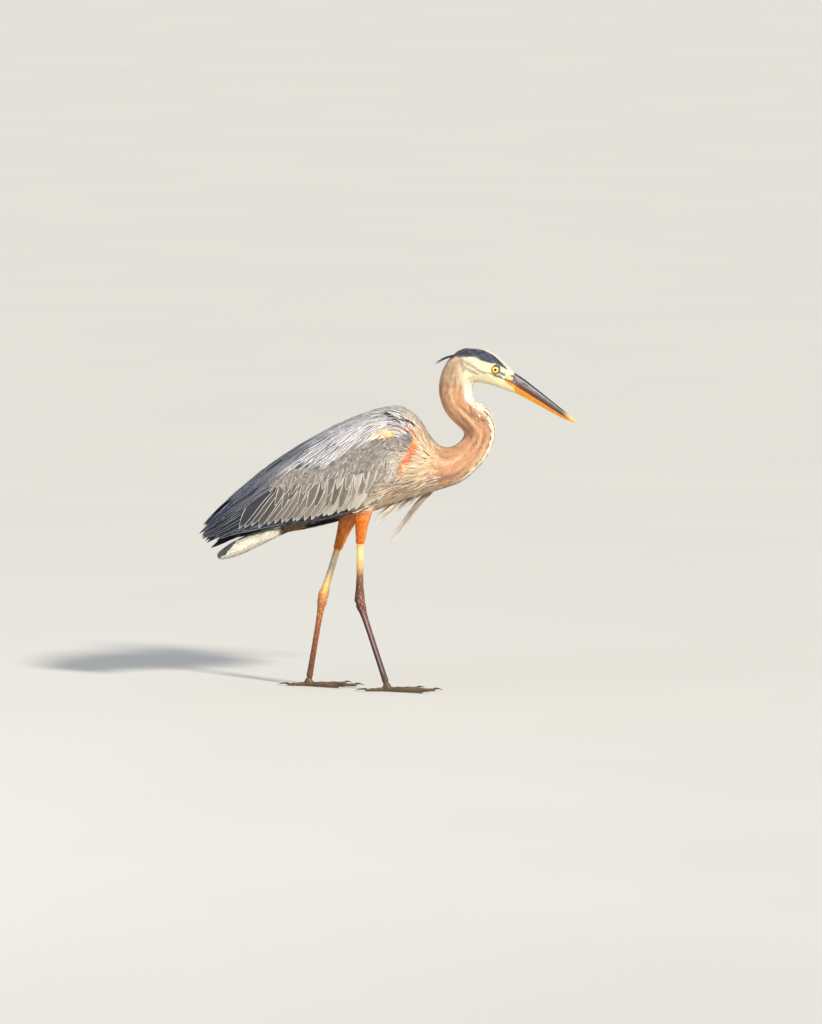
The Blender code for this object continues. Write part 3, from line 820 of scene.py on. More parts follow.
def paint_legs(points, colour):
    x, z, near = points[:, 0], points[:, 2] / MM, points[:, 1] < 0
    middle = np.where(near, read_off(LEG_MIDDLE["right"], z), read_off(LEG_MIDDLE["left"], z))
    forward = (x / MM - middle) / 6.0
    colour = over(colour, feathered_thigh(points, forward), share_of_thigh(points)[0])
    hem = np.where(near, 280, 263)
    on_leg = ramp(hem - z, -3, 3) * (place_along(points)[0] > 17) * (x > -0.20) + (z < 200)
    return over(colour, bare_leg(points, near, forward), on_leg)


# %% All the markings
def markings(points):
    """The colour of the bird at each point, as linear red, green and blue."""
    place, angle, _ = around_body(points)
    colour = np.tile(CREAM, (len(points), 1))
    colour = paint_neck(points, place, angle, colour)
    colour = paint_head(points, place, colour)
    colour = paint_trunk(points, place, np.abs(angle), colour)
    return paint_legs(points, colour)


def give_colour(mesh, colours):
    give(mesh, "mark", "FLOAT_COLOR", np.column_stack([colours, np.ones(len(colours))]))


give_colour(skin.data, markings(points_of(skin.data)))
print("markings painted on", len(skin.data.vertices), "points")

# %% [markdown]
# ## Which way the feathers lie
# Feathers point from the bill to the tail. At the base of the neck they also fan downwards over
# the breast and the front of the wing, on the back they slant down from the ridge, and on the
# thighs they follow the leg. This direction, flattened onto the surface, sets how each is turned.

# %% The lie of the feathers
NECK_ROOT = np.array([0.104, 0.440])


def flattened(direction, out):
    """A direction laid flat on the surface, and made one unit long."""
    direction = direction - out * (direction * out).sum(1)[:, None]
    return direction / np.maximum(np.linalg.norm(direction, axis=1), 1e-9)[:, None]


def lie_at(points, out):
    place, angle, heading = around_body(points)
    x, y, z = points.T
    way = np.stack([heading[:, 0], np.zeros(len(points)), heading[:, 1]], 1)
    # At the root of the neck the feathers part and run out like spokes over shoulder and breast.
    spokes = points[:, [0, 2]] - NECK_ROOT
    spokes /= np.maximum(np.linalg.norm(spokes, axis=1), 1e-4)[:, None]
    spokes += heading * ramp(NECK_ROOT[1] - z, -0.01, 0.03)[:, None] * 0.9
    share = (ramp(place, 15.2, 16.6) * ramp(x, -0.02, 0.045))[:, None]
    way[:, [0, 2]] = way[:, [0, 2]] * (1 - share) + spokes * share
    slant = ramp(place, 16.5, 17.5) * ramp(np.abs(angle), 0.15, 0.9) * fade(np.abs(angle), 1.9, 2.2)
    slant *= fade(x, 0.0, 0.045)
    way[:, 2] -= slant * np.interp(x, [-0.26, -0.10, 0.0], [0.12, 0.42, 0.70])
    way[:, 1] += np.sign(y) * 0.25 * slant
    on_thigh, thigh_way = share_of_thigh(points)
    way = way * (1 - on_thigh)[:, None] + thigh_way * on_thigh[:, None]
    return flattened(way, out)


print("thigh lengths, mm:", [round(float(np.linalg.norm(b - a) / MM)) for a, b in THIGHS.values()])

# %% [markdown]
# ## One vane, made once
# A feather here is a thin closed blade: rings of points along its length, a single point at the
# root and at the tip. Each point keeps three numbers that say where on the blade it is: across
# from -1 to 1, along from 0 to 1, and 1 on top or -1 underneath. The shape is drawn flat and one
# unit long. Geometry Nodes later stretch it, turn it and lay it on the body.

# %% Blade shapes
def blade_shape(name, widths, rows=None, across=(-1, 0, 1), skew=0.0):
    """A closed blade. widths are pairs of a place along it and its half width there, 0 to 1, rows
    the places of its rings, and across the places of a ring's points on top."""
    rows = rows or [place for place, _ in widths]
    points, marks, faces = [(0.0, 0.0, 0.0)], [(0.0, 0.0, 0.0)], []
    ring = [(u, math.sqrt(max(0.0, 1 - u * u))) for u in across]
    ring += [(u, -math.sqrt(max(0.0, 1 - u * u))) for u in across[-2:0:-1]]
    n = len(ring)
    for t in rows[1:-1]:
        for u, top in ring:
            half = 0.5 * float(read_off(widths, t))
            points.append((half * (u + skew * (1 - abs(u))), t, 0.0))
            marks.append((u, t, top))
    points.append((0.0, rows[-1], 0.0))
    marks.append((0.0, 1.0, 0.0))
    last = len(points) - 1
    for k in range(n):
        m = (k + 1) % n
        faces.append((0, 1 + m, 1 + k))
        for r in range(len(rows) - 3):
            a, b = 1 + r * n, 1 + (r + 1) * n
            faces.append((a + k, a + m, b + m, b + k))
        a = 1 + (len(rows) - 3) * n
        faces.append((a + k, a + m, last))
    mesh = mesh_from(name, points, [f[::-1] for f in faces])
    give(mesh, "blade", "FLOAT_VECTOR", marks)
    # Sharp along both rims, so that the thin blade is shaded flat and not like a grain of rice.
    rim = [abs(mark[0]) == 1.0 or place == 0 or place == last for place, mark in enumerate(marks)]
    for edge in mesh.edges:
        a, b = edge.vertices
        edge.use_edge_sharp = rim[a] and rim[b] and points[a][0] * points[b][0] >= 0
    piece = made_object(name, mesh, helper=True)
    print(name, "triangles:", sum(len(f) - 2 for f in faces))
    return piece


QUILL = [-1.0, -0.5, -0.07, 0.0, 0.07, 0.5, 1.0]
FLIGHT_ROWS = [(i / 21) ** 0.85 for i in range(22)]
TUFT = blade_shape("tuft shape", [(0, 0.2), (0.35, 1), (0.75, 0.62), (1, 0)])
BODY_VANE = blade_shape("body vane shape", [(0, 0.2), (0.22, 0.75), (0.52, 1), (0.82, 0.72), (1, 0)])
LANCE = blade_shape("lance shape", [(0, 0.2), (0.14, 0.7), (0.32, 1), (0.52, 1), (0.74, 0.7), (0.9, 0.35),
                                    (1, 0)])
COVERT_VANE = blade_shape("covert shape", [(0, 0.3), (0.12, 0.7), (0.3, 0.95), (0.5, 1), (0.68, 0.88),
                                           (0.82, 0.64), (0.91, 0.40), (0.97, 0.17), (1, 0)], across=QUILL)
FLIGHT_VANE = blade_shape("flight shape", [(0, 0.45), (0.1, 0.85), (0.3, 1), (0.65, 0.95), (0.82, 0.72),
                                           (0.92, 0.42), (0.98, 0.16), (1, 0)], FLIGHT_ROWS, QUILL, skew=-0.2)
PLUME_VANE = blade_shape("plume shape", [(0, 0.3), (0.08, 0.7), (0.2, 0.95), (0.35, 1), (0.5, 0.9), (0.65, 0.7),
                                         (0.78, 0.48), (0.89, 0.27), (0.96, 0.12), (1, 0)],
                         across=[-1, -0.5, 0, 0.5, 1])

# %% [markdown]
# ## Two node trees for all feathers
# The first tree scatters follicles: it puts points on a surface, no two closer than a set
# distance, as feathers grow. The second grows the vanes. It copies the blade to every point,
# turns it along the lie, realizes the copies, and then lays every point of every blade on the
# bird's outline: the nearest place on the outline gives where, and the height over it comes from
# how far along and across the blade the point is. So a long feather bends with the body, its
# root sits deep, its tip lies on the next one, and neighbours overlap like roof tiles.

# %% Node helpers
def feed(tree, socket, value):
    """Joins another socket to this one, or sets its constant."""
    if isinstance(value, bpy.types.NodeSocket):
        tree.links.new(value, socket)
    else:
        socket.default_value = value


def add(tree, kind, inputs=(), **settings):
    """Adds a node. inputs pairs a socket's name or number with a value or another socket."""
    node = tree.nodes.new(kind)
    for key, value in settings.items():
        setattr(node, key, value)
    for key, value in dict(inputs).items():
        feed(tree, node.inputs[key], value)
    return node


def calc(tree, operation, *values):
    return add(tree, "ShaderNodeMath", enumerate(values), operation=operation).outputs[0]


def product(tree, first, *others):
    for other in others:
        first = calc(tree, "MULTIPLY", first, other)
    return first


def vector_calc(tree, operation, a, b=None, scale=None):
    inputs = {key: value for key, value in ((0, a), (1, b), ("Scale", scale)) if value is not None}
    return add(tree, "ShaderNodeVectorMath", inputs, operation=operation).outputs[0]


def xyz(tree, *parts):
    return add(tree, "ShaderNodeCombineXYZ", enumerate(parts)).outputs[0]


def parts_of(tree, vector):
    return add(tree, "ShaderNodeSeparateXYZ", {0: vector}).outputs


def new_tree(name, *inputs):
    """An empty modifier tree with a geometry input and output and these named inputs."""
    tree = bpy.data.node_groups.new(name, "GeometryNodeTree")
    tree.is_modifier = True
    for way in ("INPUT", "OUTPUT"):
        tree.interface.new_socket("Geometry", in_out=way, socket_type="NodeSocketGeometry")
    for label, kind in inputs:
        tree.interface.new_socket(label, in_out="INPUT", socket_type="NodeSocket" + kind)
    return tree, tree.nodes.new("NodeGroupInput").outputs


def with_tree(piece, tree, **values):
    """Puts a tree on an object as a modifier and sets its inputs by their identifiers."""
    modifier = piece.modifiers.new(tree.name, "NODES")
    modifier.node_group = tree
    for item in tree.interface.items_tree:
        if item.in_out == "INPUT" and item.name in values:
            modifier[item.identifier] = values[item.name]
    return settled(piece)


def named(tree, name, kind="FLOAT"):
    """Reads an attribute from the geometry."""
    return add(tree, "GeometryNodeInputNamedAttribute", {"Name": name}, data_type=kind).outputs["Attribute"]


def named_vector(tree, name):
    return named(tree, name, "FLOAT_VECTOR")


def stored(tree, geometry, name, value, kind="FLOAT_VECTOR", domain="POINT"):
    inputs = {"Geometry": geometry, "Name": name, "Value": value}
    return add(tree, "GeometryNodeStoreNamedAttribute", inputs, data_type=kind, domain=domain).outputs[0]


def finished(tree, geometry, patch, finish):
    """Ends a tree: the bake map, which is a small patch at the feather's seat, and the material."""
    place = vector_calc(tree, "ADD", named_vector(tree, "seat"), patch)
    mapped = stored(tree, geometry, "OFBake", place, "FLOAT2", "CORNER")
    smooth = add(tree, "GeometryNodeSetShadeSmooth", {0: mapped}).outputs[0]
    dressed = add(tree, "GeometryNodeSetMaterial", {"Geometry": smooth, "Material": finish}).outputs[0]
    add(tree, "NodeGroupOutput", {0: dressed})

# %% Tree one: follicles
def follicles_tree():
    tree, given = new_tree("Follicles", ("Spacing", "Float"), ("Seed", "Int"))
    scattered = add(
        tree, "GeometryNodeDistributePointsOnFaces",
        {"Mesh": given["Geometry"], "Distance Min": given["Spacing"], "Density Max": 3e6,
         "Density Factor": named(tree, "dense"), "Seed": given["Seed"]},
        distribute_method="POISSON",
    ).outputs
    kept = stored(tree, scattered["Points"], "out", scattered["Normal"])
    as_mesh = add(tree, "GeometryNodePointsToVertices", {0: kept})
    add(tree, "NodeGroupOutput", {0: as_mesh.outputs[0]})
    return tree


FOLLICLES = follicles_tree()


def scatter(name, mask, spacing, seed, dense=None):
    """Points on the part of the outline where mask is true: their places and normals."""
    shaped = bmesh.new()
    shaped.from_mesh(outline.data)
    layer = shaped.verts.layers.float.new("dense")
    unused = [v for v, keep in zip(shaped.verts, mask) if not keep]
    for v, value in zip(shaped.verts, np.ones(len(mask)) if dense is None else dense):
        v[layer] = value
    bmesh.ops.delete(shaped, geom=unused, context="VERTS")
    bed = made_object(name + "_bed", mesh_of(name + "_bed", shaped), helper=True)
    with_tree(bed, FOLLICLES, Spacing=spacing * MM, Seed=seed)
    out = read(bed.data.attributes["out"].data, "vector")
    return points_of(bed.data), out / np.linalg.norm(out, axis=1)[:, None]

# %% Tree two: vanes
def height_on_bed(tree, given, u, t, top):
    """How high over the bed a point of the blade lies: it rises from root to tip, rolls to one
    side, has a thin top and underside and a ridge along the quill, and curls at the end."""
    left = calc(tree, "SUBTRACT", 1.0, t)
    height = calc(tree, "MULTIPLY_ADD", named(tree, "rise"), t, named(tree, "base"))
    height = calc(tree, "MULTIPLY_ADD", named(tree, "roll"), u, height)
    thin = product(tree, given["Thickness"], calc(tree, "SUBTRACT", 1.0, product(tree, t, 0.6)))
    height = calc(tree, "MULTIPLY_ADD", top, thin, height)
    from_quill = product(tree, calc(tree, "ABSOLUTE", u), 12.0)
    ridge = calc(tree, "MAXIMUM", calc(tree, "SUBTRACT", 1.0, from_quill), 0.0)
    height = calc(tree, "MULTIPLY_ADD", product(tree, ridge, top, left), given["Quill"], height)
    curl = product(tree, calc(tree, "POWER", t, 4.0), named(tree, "curl"))
    return calc(tree, "ADD", height, curl)


def vanes_tree():
    tree, given = new_tree("Vanes", ("Blade", "Object"), ("Bed", "Object"), ("Thickness", "Float"),
                           ("Quill", "Float"), ("Patch", "Float"), ("Finish", "Material"))
    blade, bed = (add(tree, "GeometryNodeObjectInfo", {"Object": given[name]}).outputs["Geometry"]
                  for name in ("Blade", "Bed"))
    lie, out, long = named_vector(tree, "lie"), named_vector(tree, "out"), named(tree, "long")
    turn = add(tree, "FunctionNodeAxesToRotation", {0: lie, 1: out}, primary_axis="Y", secondary_axis="Z")
    copies = add(tree, "GeometryNodeInstanceOnPoints",
                 {"Points": given["Geometry"], "Instance": blade, "Rotation": turn.outputs[0],
                  "Scale": xyz(tree, named(tree, "wide"), long, 1.0)})
    real = add(tree, "GeometryNodeRealizeInstances", {0: copies.outputs[0]}).outputs[0]
    u, t, top = parts_of(tree, named_vector(tree, "blade"))
    # Bend the blade sideways in its own plane.
    arch = product(tree, t, calc(tree, "SUBTRACT", 1.0, t), 4.0)
    aside = product(tree, arch, named(tree, "bow"), long)
    offset = vector_calc(tree, "SCALE", vector_calc(tree, "CROSS_PRODUCT", lie, out), scale=aside)
    bent = add(tree, "GeometryNodeSetPosition", {"Geometry": real, "Offset": offset}).outputs[0]
    # Lay it on the bed.
    near = add(tree, "GeometryNodeProximity", {0: bed}, target_element="FACES").outputs["Position"]
    up = add(tree, "GeometryNodeSampleNearestSurface", {"Mesh": bed, "Value": out},
             data_type="FLOAT_VECTOR").outputs["Value"]
    lifted = vector_calc(tree, "SCALE", vector_calc(tree, "NORMALIZE", up),
                         scale=height_on_bed(tree, given, u, t, top))
    laid = vector_calc(tree, "ADD", near, lifted)
    lying = add(tree, "GeometryNodeSetPosition", {"Geometry": bent, "Position": laid}).outputs[0]
    patch = vector_calc(tree, "SCALE", xyz(tree, product(tree, u, 0.5), t), scale=given["Patch"])
    finished(tree, lying, patch, given["Finish"])
    return tree


VANES = vanes_tree()
give(outline.data, "out", "FLOAT_VECTOR", normals_of(outline.data))
print("trees:", FOLLICLES.name, VANES.name)

# %% Planting a tract
MOST_TRIANGLES = 200000


def turned_about(vectors, axes, angle):
    """Turns each unit vector about its own axis by its own angle."""
    c, s = np.cos(angle)[:, None], np.sin(angle)[:, None]
    return vectors * c + np.cross(axes, vectors) * s


def plant(name, points, out, lie, size, layer, marks, shape, finish, slot, seed, thickness=0.12, quill=0.0,
          patch=0.003, roll=0.0, bow=0.0, curl=0.0, replaces=(), spread=0.12, turn=0.09, bed=None):
    """Grows one feather on each point. size is (length, width) and layer (root height, tip
    height), all in millimetres, and each may hold one value or one for every feather. spread
    varies the sizes, and turn the directions."""
    rng = np.random.default_rng(seed)
    n = len(points)
    even = np.ones(n)
    rows = made_object(name, mesh_from(name, points, []))
    give(rows.data, "out", "FLOAT_VECTOR", out)
    give(rows.data, "lie", "FLOAT_VECTOR", turned_about(lie, out, rng.normal(0, 1, n) * turn))
    for label, value in (("long", size[0]), ("wide", size[1])):
        give(rows.data, label, "FLOAT", value * even * MM * (1 + spread * rng.normal(0, 1, n).clip(-2, 2)))
    height = layer[0] * even + rng.uniform(-0.2, 0.2, n)
    rise = layer[1] * even - height + rng.uniform(-0.2, 0.2, n)
    for label, value in (("base", height), ("rise", rise), ("roll", roll), ("curl", curl)):
        give(rows.data, label, "FLOAT", value * even * MM)
    give(rows.data, "bow", "FLOAT", bow * even)
    give_colour(rows.data, marks)
    give(rows.data, "tone", "FLOAT", rng.uniform(0, 1, n))
    seat = seat_on_map(points)
    low, high = seat.min(0), seat.max(0)
    give(rows.data, "seat", "FLOAT_VECTOR", 0.03 + 0.91 * (seat - low) / np.maximum(high - low, 1e-3))
    with_tree(rows, VANES, Blade=shape, Bed=bed or outline, Thickness=thickness * MM, Quill=quill * MM,
              Patch=patch, Finish=finish)
    count = triangles_in(rows.data)
    assert count < MOST_TRIANGLES, f"{name} has {count} triangles"
    enrol(rows, slot, *replaces)
    print(f"{name}: {n} feathers, {count} triangles")


def grow(name, mask, spacing, seed, size, layer, shape, finish, slot, marks=markings, lie=None, dense=None,
         **more):
    """Scatters and plants one tract. size and layer may be functions of the points."""
    points, out = scatter(name, mask, spacing, seed, dense)
    size, layer = (value(points) if callable(value) else value for value in (size, layer))
    lie = lie_at(points, out) if lie is None else flattened(np.tile(lie, (len(points), 1)), out)
    plant(name, points, out, lie, size, layer, marks(points), shape, finish, slot, seed, **more)

# %% [markdown]
# ## Finishes
# All feathers share one kind of material. Its colour comes from the feather's own marking, and
# the numbers on the blade add what a feather shows close by: a pale fringe, a dark quill, painted
# shade at the root, where the feathers before it lie over it, fine barbs that slope away from the
# quill, and a slightly different tone on each one.

# %% Feather finishes
def new_material(name):
    material = bpy.data.materials.new(name)
    material.use_nodes = True
    return material, material.node_tree


def set_shader(tree, **inputs):
    """Sets or joins inputs of the material's shader. An underscore stands for a space."""
    for name, value in inputs.items():
        feed(tree, tree.nodes["Principled BSDF"].inputs[name.replace("_", " ")], value)


def mixed(tree, factor, a, b, blend="MIX"):
    node = add(tree, "ShaderNodeMix", data_type="RGBA", blend_type=blend)
    for number, value in ((0, factor), (6, a), (7, b)):
        plain = isinstance(value, (float, bpy.types.NodeSocket))
        feed(tree, node.inputs[number], value if plain else (*value, 1.0))
    return node.outputs[2]


def shaded(tree, colour, value):
    """A colour made darker or lighter."""
    return mixed(tree, 1.0, colour, xyz(tree, value, value, value), "MULTIPLY")


def stepped(tree, value, start, end, low=0.0, high=1.0):
    return add(tree, "ShaderNodeMapRange", {0: value, 1: start, 2: end, 3: low, 4: high},
               interpolation_type="SMOOTHSTEP").outputs[0]


def attribute(tree, name, output="Vector"):
    return add(tree, "ShaderNodeAttribute", attribute_name=name).outputs[output]


def object_place(tree):
    return add(tree, "ShaderNodeTexCoord").outputs["Object"]


def noise(tree, place, scale, detail):
    inputs = {"Vector": place, "Scale": scale, "Detail": detail}
    return add(tree, "ShaderNodeTexNoise", inputs).outputs["Fac"]


def bumps(tree, height, strength, distance):
    inputs = {"Height": height, "Strength": strength, "Distance": distance}
    return add(tree, "ShaderNodeBump", inputs).outputs[0]


def feather_finish(name, bright, fringe, fringe_share, fringe_strength, quill_strength, barbs, roughness,
                   contrast, root_shade, tip=1.0):
    """bright scales all of it. fringe is the colour of the pale edge, fringe_share how far across
    it starts and tip how strongly it rounds the end. root_shade darkens the root as painted shade."""
    material, tree = new_material(name)
    u, along, _ = parts_of(tree, attribute(tree, "blade"))
    across = calc(tree, "ABSOLUTE", u)
    tone = calc(tree, "SUBTRACT", attribute(tree, "tone", "Fac"), 0.5)
    patchy = calc(tree, "SUBTRACT", noise(tree, object_place(tree), 90.0, 4.0), 0.5)
    value = calc(tree, "MULTIPLY_ADD", tone, contrast, bright)
    value = calc(tree, "MULTIPLY_ADD", patchy, 0.45, value)
    # Painted shade: each feather darkens towards its root, which lies under the feathers before it.
    value = product(tree, value, stepped(tree, along, 0.0, 0.55, root_shade, 1.0))
    colour = shaded(tree, attribute(tree, "mark", "Color"), value)
    edge = stepped(tree, across, fringe_share, min(0.98, fringe_share + 0.22))
    edge = calc(tree, "MAXIMUM", edge, product(tree, stepped(tree, along, 0.90, 0.99), tip))
    edge = product(tree, edge, product(tree, stepped(tree, along, 0.12, 0.4), fringe_strength))
    colour = mixed(tree, edge, colour, [bright * channel for channel in fringe])
    quill = product(tree, stepped(tree, across, 0.10, 0.03), quill_strength)
    colour = mixed(tree, quill, colour, (0.02, 0.018, 0.02))
    # Barbs slope towards the tip on both sides of the quill.
    slope = calc(tree, "MULTIPLY_ADD", across, -0.22, along)
    wave = calc(tree, "SINE", product(tree, slope, barbs))
    hairs = calc(tree, "SINE", product(tree, u, 16.0))
    lines = calc(tree, "MULTIPLY_ADD", hairs, 0.35, wave)
    set_shader(tree, Base_Color=colour, Roughness=roughness, Specular_IOR_Level=0.35, Sheen_Weight=0.12,
               Sheen_Roughness=0.45, Normal=bumps(tree, lines, 0.35, 0.0002))
    return material


def matt_finish(*settings):
    material = feather_finish(*settings)
    set_shader(material.node_tree, Sheen_Weight=0.0, Specular_IOR_Level=0.12)
    return material


DOWN = feather_finish("small plumage", 0.92, linear(255, 250, 226), 0.45, 0.15, 0.0, 60.0, 0.62, 0.2, 0.97)
NECK = feather_finish("neck plumage", 0.94, linear(246, 210, 174), 0.4, 0.18, 0.0, 60.0, 0.6, 0.3, 0.95)
# The belly plumage is half as bright, with a near black fringe: the belly's black, deepened as painted shade.
BELLY = matt_finish("belly plumage", 0.5, linear(22, 24, 30), 0.5, 0.1, 0.0, 60.0, 0.8, 0.4, 0.8)
THIGH = matt_finish("thigh plumage", 0.88, linear(255, 150, 64), 0.5, 0.25, 0.0, 60.0, 0.62, 0.45, 0.95)
STREAKED = feather_finish("breast plumage", 0.82, linear(255, 244, 220), 0.35, 0.4, 0.0, 90.0, 0.55, 0.4, 0.75)
UNDERTAIL = feather_finish("undertail plumage", 0.7, linear(255, 250, 226), 0.4, 0.3, 0.0, 90.0, 0.55, 0.25,
                           0.9)
MANTLE = feather_finish("mantle plumage", 0.94, linear(250, 250, 252), 0.55, 0.9, 0.0, 160.0, 0.5, 0.55, 0.6)
REAR_PLUME = feather_finish("rear plume", 0.7, linear(226, 228, 236), 0.76, 0.85, 0.0, 160.0, 0.45, 0.5, 0.65,
                            0.3)
SCALY = feather_finish("covert plumage", 0.72, linear(206, 198, 192), 0.5, 0.15, 0.0, 110.0, 0.6, 0.35, 0.85)
COVERT = feather_finish("great covert plumage", 0.86, linear(226, 218, 208), 0.62, 0.75, 0.3, 190.0, 0.5, 0.6,
                        0.7)
FLIGHT = feather_finish("flight plumage", 0.84, linear(250, 244, 234), 0.83, 0.95, 0.35, 420.0, 0.45, 0.35,
                        0.75,
                        0.5)
QUILLS = feather_finish("hand and tail plumage", 0.64, linear(204, 208, 216), 0.86, 0.8, 0.4, 420.0, 0.42, 0.35,
                        0.75, 0.2)
print("feather finishes:", len(bpy.data.materials))

# %% Horn, scales and skin
def skin_finish():
    material, tree = new_material("skin and leg scales")
    place = object_place(tree)
    grain = noise(tree, place, 260.0, 5.0)
    scales = add(tree, "ShaderNodeTexVoronoi", {"Vector": place, "Scale": 420.0}, feature="DISTANCE_TO_EDGE")
    groove = stepped(tree, scales.outputs["Distance"], 0.0, 0.12)
    value = calc(tree, "MULTIPLY_ADD", calc(tree, "SUBTRACT", grain, 0.5), 0.7, 1.0)
    value = product(tree, value, calc(tree, "MULTIPLY_ADD", groove, 0.22, 0.80))
    height = calc(tree, "MULTIPLY_ADD", grain, 0.4, groove)
    set_shader(tree, Base_Color=shaded(tree, attribute(tree, "mark", "Color"), value),
               Roughness=stepped(tree, grain, 0.3, 0.7, 0.38, 0.6), Normal=bumps(tree, height, 0.5, 0.00025))
    return material


def horn_finish(name, roughness):
    """Horn: the marking, streaked along its growth, with a soft gloss."""
    material, tree = new_material(name)
    streaks = noise(tree, attribute(tree, "flow"), 9.0, 6.0)
    value = stepped(tree, streaks, 0.30, 0.70, 0.6, 1.15)
    set_shader(tree, Base_Color=shaded(tree, attribute(tree, "mark", "Color"), value),
               Roughness=stepped(tree, streaks, 0.3, 0.7, roughness, roughness + 0.18),
               Coat_Weight=0.08, Coat_Roughness=0.35, Normal=bumps(tree, streaks, 0.3, 0.0003))
    return material


HORN = horn_finish("bill horn", 0.42)
CLAW = horn_finish("claw horn", 0.35)
skin.data.materials.clear()
skin.data.materials.append(skin_finish())
print("materials:", [m.name for m in bpy.data.materials])

# %% [markdown]
# ## Where each tract is
# A bird's feathers grow in tracts. Here each tract is the part of the outline that meets a few
# conditions on its place, angle and height. The lines are those that the folded wing makes on
# the flank: the edge of the shoulder plumes, the row under the small coverts, and the front edge.

# %% Tract lines, in millimetres of X and Z
PLUME_EDGE = np.array([(-330, 325), (-264.5, 380), (-218, 402), (-180, 421), (-142, 424),
                       (-104.5, 438), (-75, 464), (-23, 480), (10, 490), (60, 515)]) * MM
BAND = np.array([(-215, 402), (-180, 411), (-133, 412), (-75, 428), (-3, 441), (35, 444)]) * MM
# Height, and how far forward the wing reaches there.
WING_FRONT = np.array([(330, -5), (380, 5), (419, 25), (444, 31), (457, 42), (471, 51), (483, 54),
                       (496, 46), (510, 38)]) * MM


def plume_length(points):
    """Length in millimetres of the mantle and shoulder plumes."""
    return np.interp(points[:, 0], [-0.268, -0.235, -0.15, -0.06, 0.0, 0.05], [50, 72, 72, 52, 34, 22])


bed_points, bed_out = points_of(outline.data), normals_of(outline.data)
bed_place, bed_angle, _ = around_body(bed_points)
bed_lie = lie_at(bed_points, bed_out)
turned = np.abs(bed_angle)
bx, by, bz = bed_points.T
tips = bed_points + bed_lie * plume_length(bed_points)[:, None] * MM * 0.92
front_x, wing_bottom = read_off(WING_FRONT, bz), read_off(WING_BELOW, bx)

# %% The tracts
tail_part = on_tail(bed_points)
thigh_part = share_of_thigh(bed_points)[0] > 0.3
by_thigh = share_of_thigh(bed_points + bed_lie * 0.010)[0] >= 0.1
mantle_part = (bed_place > 16.2) & (turned < 1.75) & (bx > -0.268)
mantle_part &= tips[:, 2] > read_off(PLUME_EDGE, tips[:, 0])
wing_part = (bed_place > 16.2) & (turned > 0.35) & ~thigh_part & ~tail_part
wing_part &= (bx < front_x) & (bz > wing_bottom) & (bz < read_off(PLUME_EDGE, bx) + 0.012)
hand_part = (bx < -0.200) & ~tail_part
belly_part = (bz < wing_bottom + 0.006) & (turned > 1.6) & (bx < -0.034) & (bx > -0.215)
belly_part &= ~by_thigh & ~tail_part & ~thigh_part
breast_part = (bed_place > 15.2) & ~thigh_part & ~belly_part & ~hand_part & ~tail_part & (bx > -0.16)
breast_part &= ((bx > front_x - 0.004) | (bz < wing_bottom + 0.004)) & (~mantle_part | (bx > 0.02))
for label, part in (("mantle", mantle_part), ("wing", wing_part), ("breast", breast_part),
                    ("belly", belly_part), ("thigh", thigh_part), ("tail", tail_part)):
    print(label, int(part.sum()), "points")

# %% [markdown]
# ## The small feathers
# The face comes first, with the smallest feathers, about three millimetres long at the bill. The
# bare skin between bill and eye and the ring round the eye are left out. They grow longer down
# the neck, where they read as fine streaks, and on the breast they are long and thin like hair.

# %% Face
beside = np.abs(by)
eye_gap = np.hypot(bx - EYE_CENTRE["right"][0], bz - EYE_CENTRE["right"][2])
lore_level = np.interp(bx, [0.205, 0.245], [0.6045, 0.588])
lores = (np.abs(bz - lore_level) < 0.0042) & (bx > 0.206) & (beside > 0.006)
round_eye = (eye_gap < 0.0082) & (beside > 0.012)
feather_front = np.where(beside > 0.006, read_off(FEATHER_EDGE, bz), 0.2475)
face_part = (bed_place < 6.9) & ~tail_part & ~lores & ~round_eye & (bx < feather_front)


def face_size(points):
    place = place_along(points)[0]
    long = np.interp(place, [0.3, 2, 4, 6, 7], [3.2, 4.4, 6.4, 8.5, 9.5])
    return long, np.interp(place, [0.3, 2, 4, 7], [0.9, 1.1, 1.3, 1.4])


grow("face_coat", face_part, 1.45, 21, face_size, (-0.4, 0.15), TUFT, DOWN, "white_plumage",
     dense=np.interp(bed_place, [0, 2, 5, 7], [1, 0.9, 0.6, 0.55]), thickness=0.09)

# %% Neck
def neck_size(points):
    place = place_along(points)[0]
    return np.interp(place, [6, 10, 13, 16], [12, 15, 19, 24]), np.interp(place, [6, 10, 16], [2.1, 2.4, 2.5])


upper_neck = (bed_place > 6.5) & (bed_place < 11.0)
lower_neck = (bed_place > 10.8) & (bed_place < 16.9) & ~belly_part & ~wing_part
for name, part, seed in (("neck_coat_upper", upper_neck, 22), ("neck_coat_lower", lower_neck, 23)):
    grow(name, part, 2.05, seed, neck_size, (-0.8, 0.15), BODY_VANE, NECK, "taupe_plumage",
         thickness=0.07, turn=0.08)

# %% Ruff where the neck folds
ruff_part = (bed_place > 8.7) & (bed_place < 9.7) & (turned > 2.0)
grow("ruff_tufts", ruff_part, 1.9, 27, (30, 1.7), (-0.8, 9.5), LANCE, NECK, "white_plumage", curl=-6.0,
     turn=0.14)

# %% Breast
shoulder_there = on_shoulder(bed_points, turned)
flame_part = np.maximum(shoulder_there[0], shoulder_there[2]) > 0.5


def breast_marks(points):
    """Cream and white streaks over a browner ground. They follow the spokes from the neck's root."""
    rng = np.random.default_rng(24)
    across, up = (points[:, [0, 2]] - NECK_ROOT).T
    ray = np.arctan2(up, across) + 0.12 * points[:, 1] / 0.05
    wander = 3.0 * mottle(points, 0.05, 65)
    light = 0.5 + 0.42 * np.sin(ray * 110 + wander) + rng.normal(0, 0.16, len(points))
    low = fade(points[:, 2], 0.410, 0.450)
    streaks = over(markings(points), linear(234, 198, 156), ramp(light, 0.30, 0.55))
    streaks = over(streaks, linear(248, 230, 202), ramp(light, 0.70, 0.95))
    dark = ramp(-light, -0.30 - 0.1 * low, -0.05) * (0.45 + 0.5 * low)
    return over(streaks, linear(112, 84, 70), dark * ramp(np.hypot(up, across), 0.015, 0.035))


